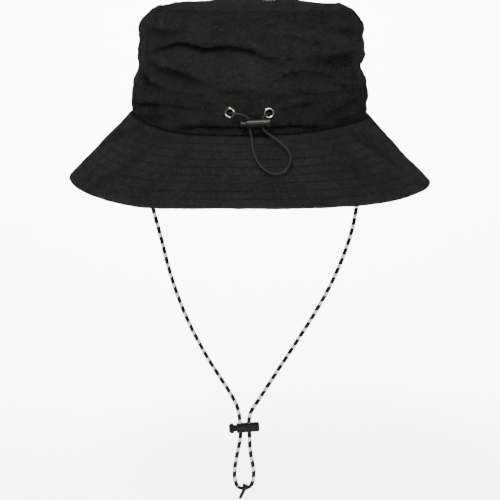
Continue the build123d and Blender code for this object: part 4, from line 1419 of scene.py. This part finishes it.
# %% The cord tabs and the cord in the casing
def webbing_tab(name, low, high, material):
    """Upright strap end of flat rounded section.

    At each height the section is half size times sign(cos) |cos|^0.6 through its thickness
    and the same with the sine across its width; both shrink to round ends, the thickness
    swells on each rib and is nipped along two stitch rows.
    """
    middle, half = (low + high) / 2.0, (high - low) / 2.0
    height = np.linspace(low[2], high[2], 90)[:, None]
    turn = (np.arange(64) * 2.0 * math.pi / 64)[None, :]
    to_end = np.minimum(height - low[2], high[2] - height) / (0.9 * MM)
    closing = np.sqrt(np.clip(1.0 - (1.0 - np.clip(to_end, 0.0, 1.0)) ** 2, 0.0004, 1.0))
    ribs = 0.07 * MM * np.cos(2.0 * math.pi * height / (0.9 * MM))
    nip = sum(bump_of(height - row, 0.8 * MM) for row in tab_rows(low, high))
    thick = (half[0] - 0.10 * MM + ribs - 0.28 * MM * nip) * closing
    wide = (half[1] - 0.15 * MM * nip) * (0.6 + 0.4 * closing)
    cosine, sine = np.cos(turn), np.sin(turn)
    across = thick * np.sign(cosine) * np.abs(cosine) ** 0.6
    along = wide * np.sign(sine) * np.abs(sine) ** 0.6
    points = np.stack([middle[0] + across, middle[1] + along, height + 0.0 * turn], axis=-1)
    return grid_object(name, points, material, np.stack([along, height + 0.0 * turn], axis=-1), flip=False)


def tab_rows(low, high):
    """Heights of the two stitch rows across a tab."""
    return (low[2] + 0.45 * (high[2] - low[2]), high[2] - 1.6 * MM)


tab_seams = []
tab_pieces = []
for side in ("left", "right"):
    tab_low, tab_high = (np.array(corner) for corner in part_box("chin_cord_tab_" + side))
    piece = webbing_tab("webbing_tab_" + side, tab_low, tab_high, webbing)
    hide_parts("chin_cord_tab_" + side)
    tab_pieces.append(piece)
    for face, tab_x in ((-1.0, tab_low[0] + 0.30 * MM), (1.0, tab_high[0] - 0.30 * MM)):
        for row in tab_rows(tab_low, tab_high):
            def across_tab(place, tab_x=tab_x, face=face, row=row):
                here = np.stack([np.full_like(place, tab_x), place, np.full_like(place, row)], axis=-1)
                return here, here + np.array([face * 0.5 * MM, 0.0, 0.0])
            tab_seams.append((tab_low[1] + 0.8 * MM, tab_high[1] - tab_low[1] - 1.6 * MM, across_tab))
tab_stitches = stitches("tab_stitches", tab_seams, pitch=2.0 * MM, gap=0.5 * MM, thickness=0.4 * MM, body=None)
for piece in tab_pieces + [tab_stitches]:
    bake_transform(piece)

casing_low, casing_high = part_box("drawcord_in_casing")
casing_level = (casing_low[2] + casing_high[2]) / 2.0
casing_out = casing_high[1] - END_CENTRE - END_RADIUS - (casing_high[2] - casing_low[2]) / 2.0
casing_stops = np.linspace(EYELET_ROUND, ROUND - EYELET_ROUND, 420)
casing_cord, _ = braided_cord(
    "drawcord_inside_casing", oval_point(casing_stops, casing_out, casing_level), DRAWCORD, 6, 1.5 * MM, 0.06,
    elastic_cover, sides=12, spacing=1.0 * MM,
)
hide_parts("drawcord_in_casing")
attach(casing_cord, "hat")

# %% [markdown]
# ## The eyelets
# An eyelet is one turned ring: a rounded flange outside and a short barrel that goes through
# the cloth. Its outline is turned round the eyelet's own axis.

# %% The eyelets
for side, direction in (("left", -1.0), ("right", 1.0)):
    low, high = eyelet_boxes[side]
    sine = eyelet_reach / (END_RADIUS + BAND_OUT)
    axis = np.array([direction * sine, -math.sqrt(1.0 - sine**2), 0.0])
    across = np.array([-axis[1], axis[0], 0.0])
    seat = np.array([0.0, -END_CENTRE, eyelet_height]) + (END_RADIUS + BAND_OUT + 0.02 * MM) * axis
    roll = np.linspace(-0.5 * math.pi, 1.5 * math.pi, 40, endpoint=False)
    mid_radius, half_width, half_height = 3.0 * MM, 0.74 * MM, 0.42 * MM
    ring_radius = mid_radius + half_width * np.cos(roll)
    ring_height = 0.42 * MM + half_height * np.sin(roll) * np.where(np.sin(roll) > 0, 1.25, 1.0)
    barrel_radius = np.array([2.05, 2.06, 2.10, 2.25]) * MM
    barrel_height = np.array([-0.95, -0.6, -0.1, 0.25]) * MM
    for outline_radius, outline_height, name in (
        (ring_radius, ring_height, "eyelet_flange_" + side), (barrel_radius, barrel_height, "eyelet_barrel_" + side),
    ):
        angle = np.arange(72) * 2.0 * math.pi / 72
        radius, height = outline_radius[:, None], outline_height[:, None]
        ring = (seat + height[..., None] * axis + radius[..., None] * (
            np.cos(angle)[None, :, None] * across + np.sin(angle)[None, :, None] * np.array([0.0, 0.0, 1.0])
        ))
        if "flange" in name:
            ring = np.concatenate([ring, ring[:1]])
        # The barrel takes the darkened nickel, painted shade inside the hole.
        piece = grid_object(name, ring, nickel if "flange" in name else nickel_painted_dark, flip=False)
        if "barrel" in name:
            give_thickness(piece, 0.12 * MM, 1.0)
        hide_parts("eyelet_" + side)
        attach(piece, "hat")

# %% [markdown]
# ## Baking the cords
# The chin lock slides on the chin cords and the drawcord runs from the hat to its lock; here the
# cords' placements are baked into their meshes.

# %% Baking the cords
for node in ("chin_cord_left", "chin_cord_right"):
    piece, path = chin_pieces[node]
    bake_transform(piece)
for node in ("chin_cord_end_left", "chin_cord_end_right"):
    piece, path = chin_pieces[node]
    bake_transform(piece)
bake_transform(drawcord_piece)

# %% [markdown]
# ## The cloths' flat sizes
# Every cloth's flat size, the size it is cut to, is worked out and printed. Upright walls are straight strips as long
# as their longer seam. The sloping brim is cut as part of a flat ring, whose radius is
# slope * inner seam / (outer seam - inner seam).


# %% The cloths' flat sizes
def seam_length(points):
    """Length of a closed row of points."""
    return float(np.linalg.norm(points - np.roll(points, 1, axis=0), axis=-1).sum())


def strip_cut(outside, width):
    """Straight strip long enough for a seam that far outside the head oval."""
    return (seam_length(oval_point(np.linspace(0.0, ROUND, 720, endpoint=False), outside, 0.0)), width), None


def ring_cut(inner, outer, slope):
    """Part of a flat ring: (the rectangle it is cut from), its own area."""
    radius = slope * inner / (outer - inner)
    half_angle = min(inner / radius / 2.0, math.pi / 2.0)
    width = 2.0 * (radius + slope) * math.sin(half_angle)
    return (width, radius + slope - radius * math.cos(half_angle)), (inner + outer) / 2.0 * slope


def oval_cut(piece):
    """Oval panel: (its length and width), its own area, which is pi / 4 of their product."""
    size = np.array([v.co for v in piece.data.vertices])
    across, deep = size[:, 0].max() - size[:, 0].min(), size[:, 1].max() - size[:, 1].min()
    return (across, deep), 0.785 * across * deep


brim_stops = np.linspace(0.0, ROUND, 720, endpoint=False)
brim_inner = seam_length(brim_point(brim_stops, np.zeros(720), np.zeros(720)))
brim_outer = seam_length(brim_point(brim_stops, np.full(720, BRIM_LENGTH), np.zeros(720)))
CLOTHS = (
    (crown_side, strip_cut(CROWN_PROFILE[:, 0].max(), CROWN_LENGTH), "gathered", [casing], []),
    (crown_top, oval_cut(crown_top), "laid", [crown_side], []),
    (casing, strip_cut(BAND_OUT, BAND_LENGTH), "gathered", [brim_top, casing_cord], []),
    (brim_top, ring_cut(brim_inner, brim_outer, BRIM_LENGTH), "stretched", [brim_core], []),
    (brim_base, ring_cut(brim_inner, brim_outer, BRIM_LENGTH), "stretched", [brim_core], []),
    (brim_core, ring_cut(brim_inner, brim_outer, BRIM_LENGTH - 3.0 * MM), "stretched", [brim_base], []),
    (crown_lining, strip_cut(0.0, CROWN_LENGTH), "hung", [crown_side], []),
    (top_lining, oval_cut(top_lining), "hung", [crown_top], []),
    (sweatband, strip_cut(0.0, SWEAT_HIGH - SWEAT_LOW), "folded", [casing], []),
    (size_label, ((LABEL_WIDTH, LABEL_HEIGHT), None), "laid", [sweatband], []),
)
for piece, (flat, area), held, rests_on, sewn in CLOTHS:
    print(piece.name, "cut flat, mm:", [round(side / MM) for side in flat])

# %% [markdown]
# ## Floor
# The floor is plain pale paper just under the end of the chin strap. Behind the hat it curves
# up into a wall, so that no line shows between the two. Its back is clear, so that the hat is
# seen from every side.

# %% Floor
PAPER_BEND, PAPER_START = 0.9, 0.45
floor_z = cad_box[0][2] - 0.004
bend = np.linspace(0.0, math.pi / 2, 40)
paper_y = np.concatenate([[-9.0, -3.0, -1.5, -0.5], PAPER_START + PAPER_BEND * np.sin(bend), [PAPER_START + PAPER_BEND] * 2])
paper_z = np.concatenate([[0.0, 0.0, 0.0, 0.0], PAPER_BEND * (1.0 - np.cos(bend)), [2.0, 4.0]]) + floor_z
paper_x = np.linspace(-9.0, 9.0, 12)
paper = np.stack([
    np.broadcast_to(paper_x, (len(paper_y), len(paper_x))),
    np.repeat(paper_y[:, None], len(paper_x), axis=1), np.repeat(paper_z[:, None], len(paper_x), axis=1),
], axis=-1)
floor_material, floor_tree, floor_shader = start_material("pale paper", 0.9)
floor_shader.inputs["Base Color"].default_value = (0.93, 0.93, 0.93, 1.0)
floor_side = floor_tree.nodes.new("ShaderNodeNewGeometry")
floor_tree.links.new(
    math_node(floor_tree, "SUBTRACT", 1.0, floor_side.outputs["Backfacing"]), floor_shader.inputs["Alpha"],
)
floor = grid_object("floor", paper, floor_material, closed=False)
lit_by_paper_light = bpy.data.collections.new("lit by the paper light")
lit_by_paper_light.objects.link(floor)
paper_light.light_linking.receiver_collection = lit_by_paper_light
paper_light.light_linking.blocker_collection = lit_by_paper_light
floor.visible_glossy = False
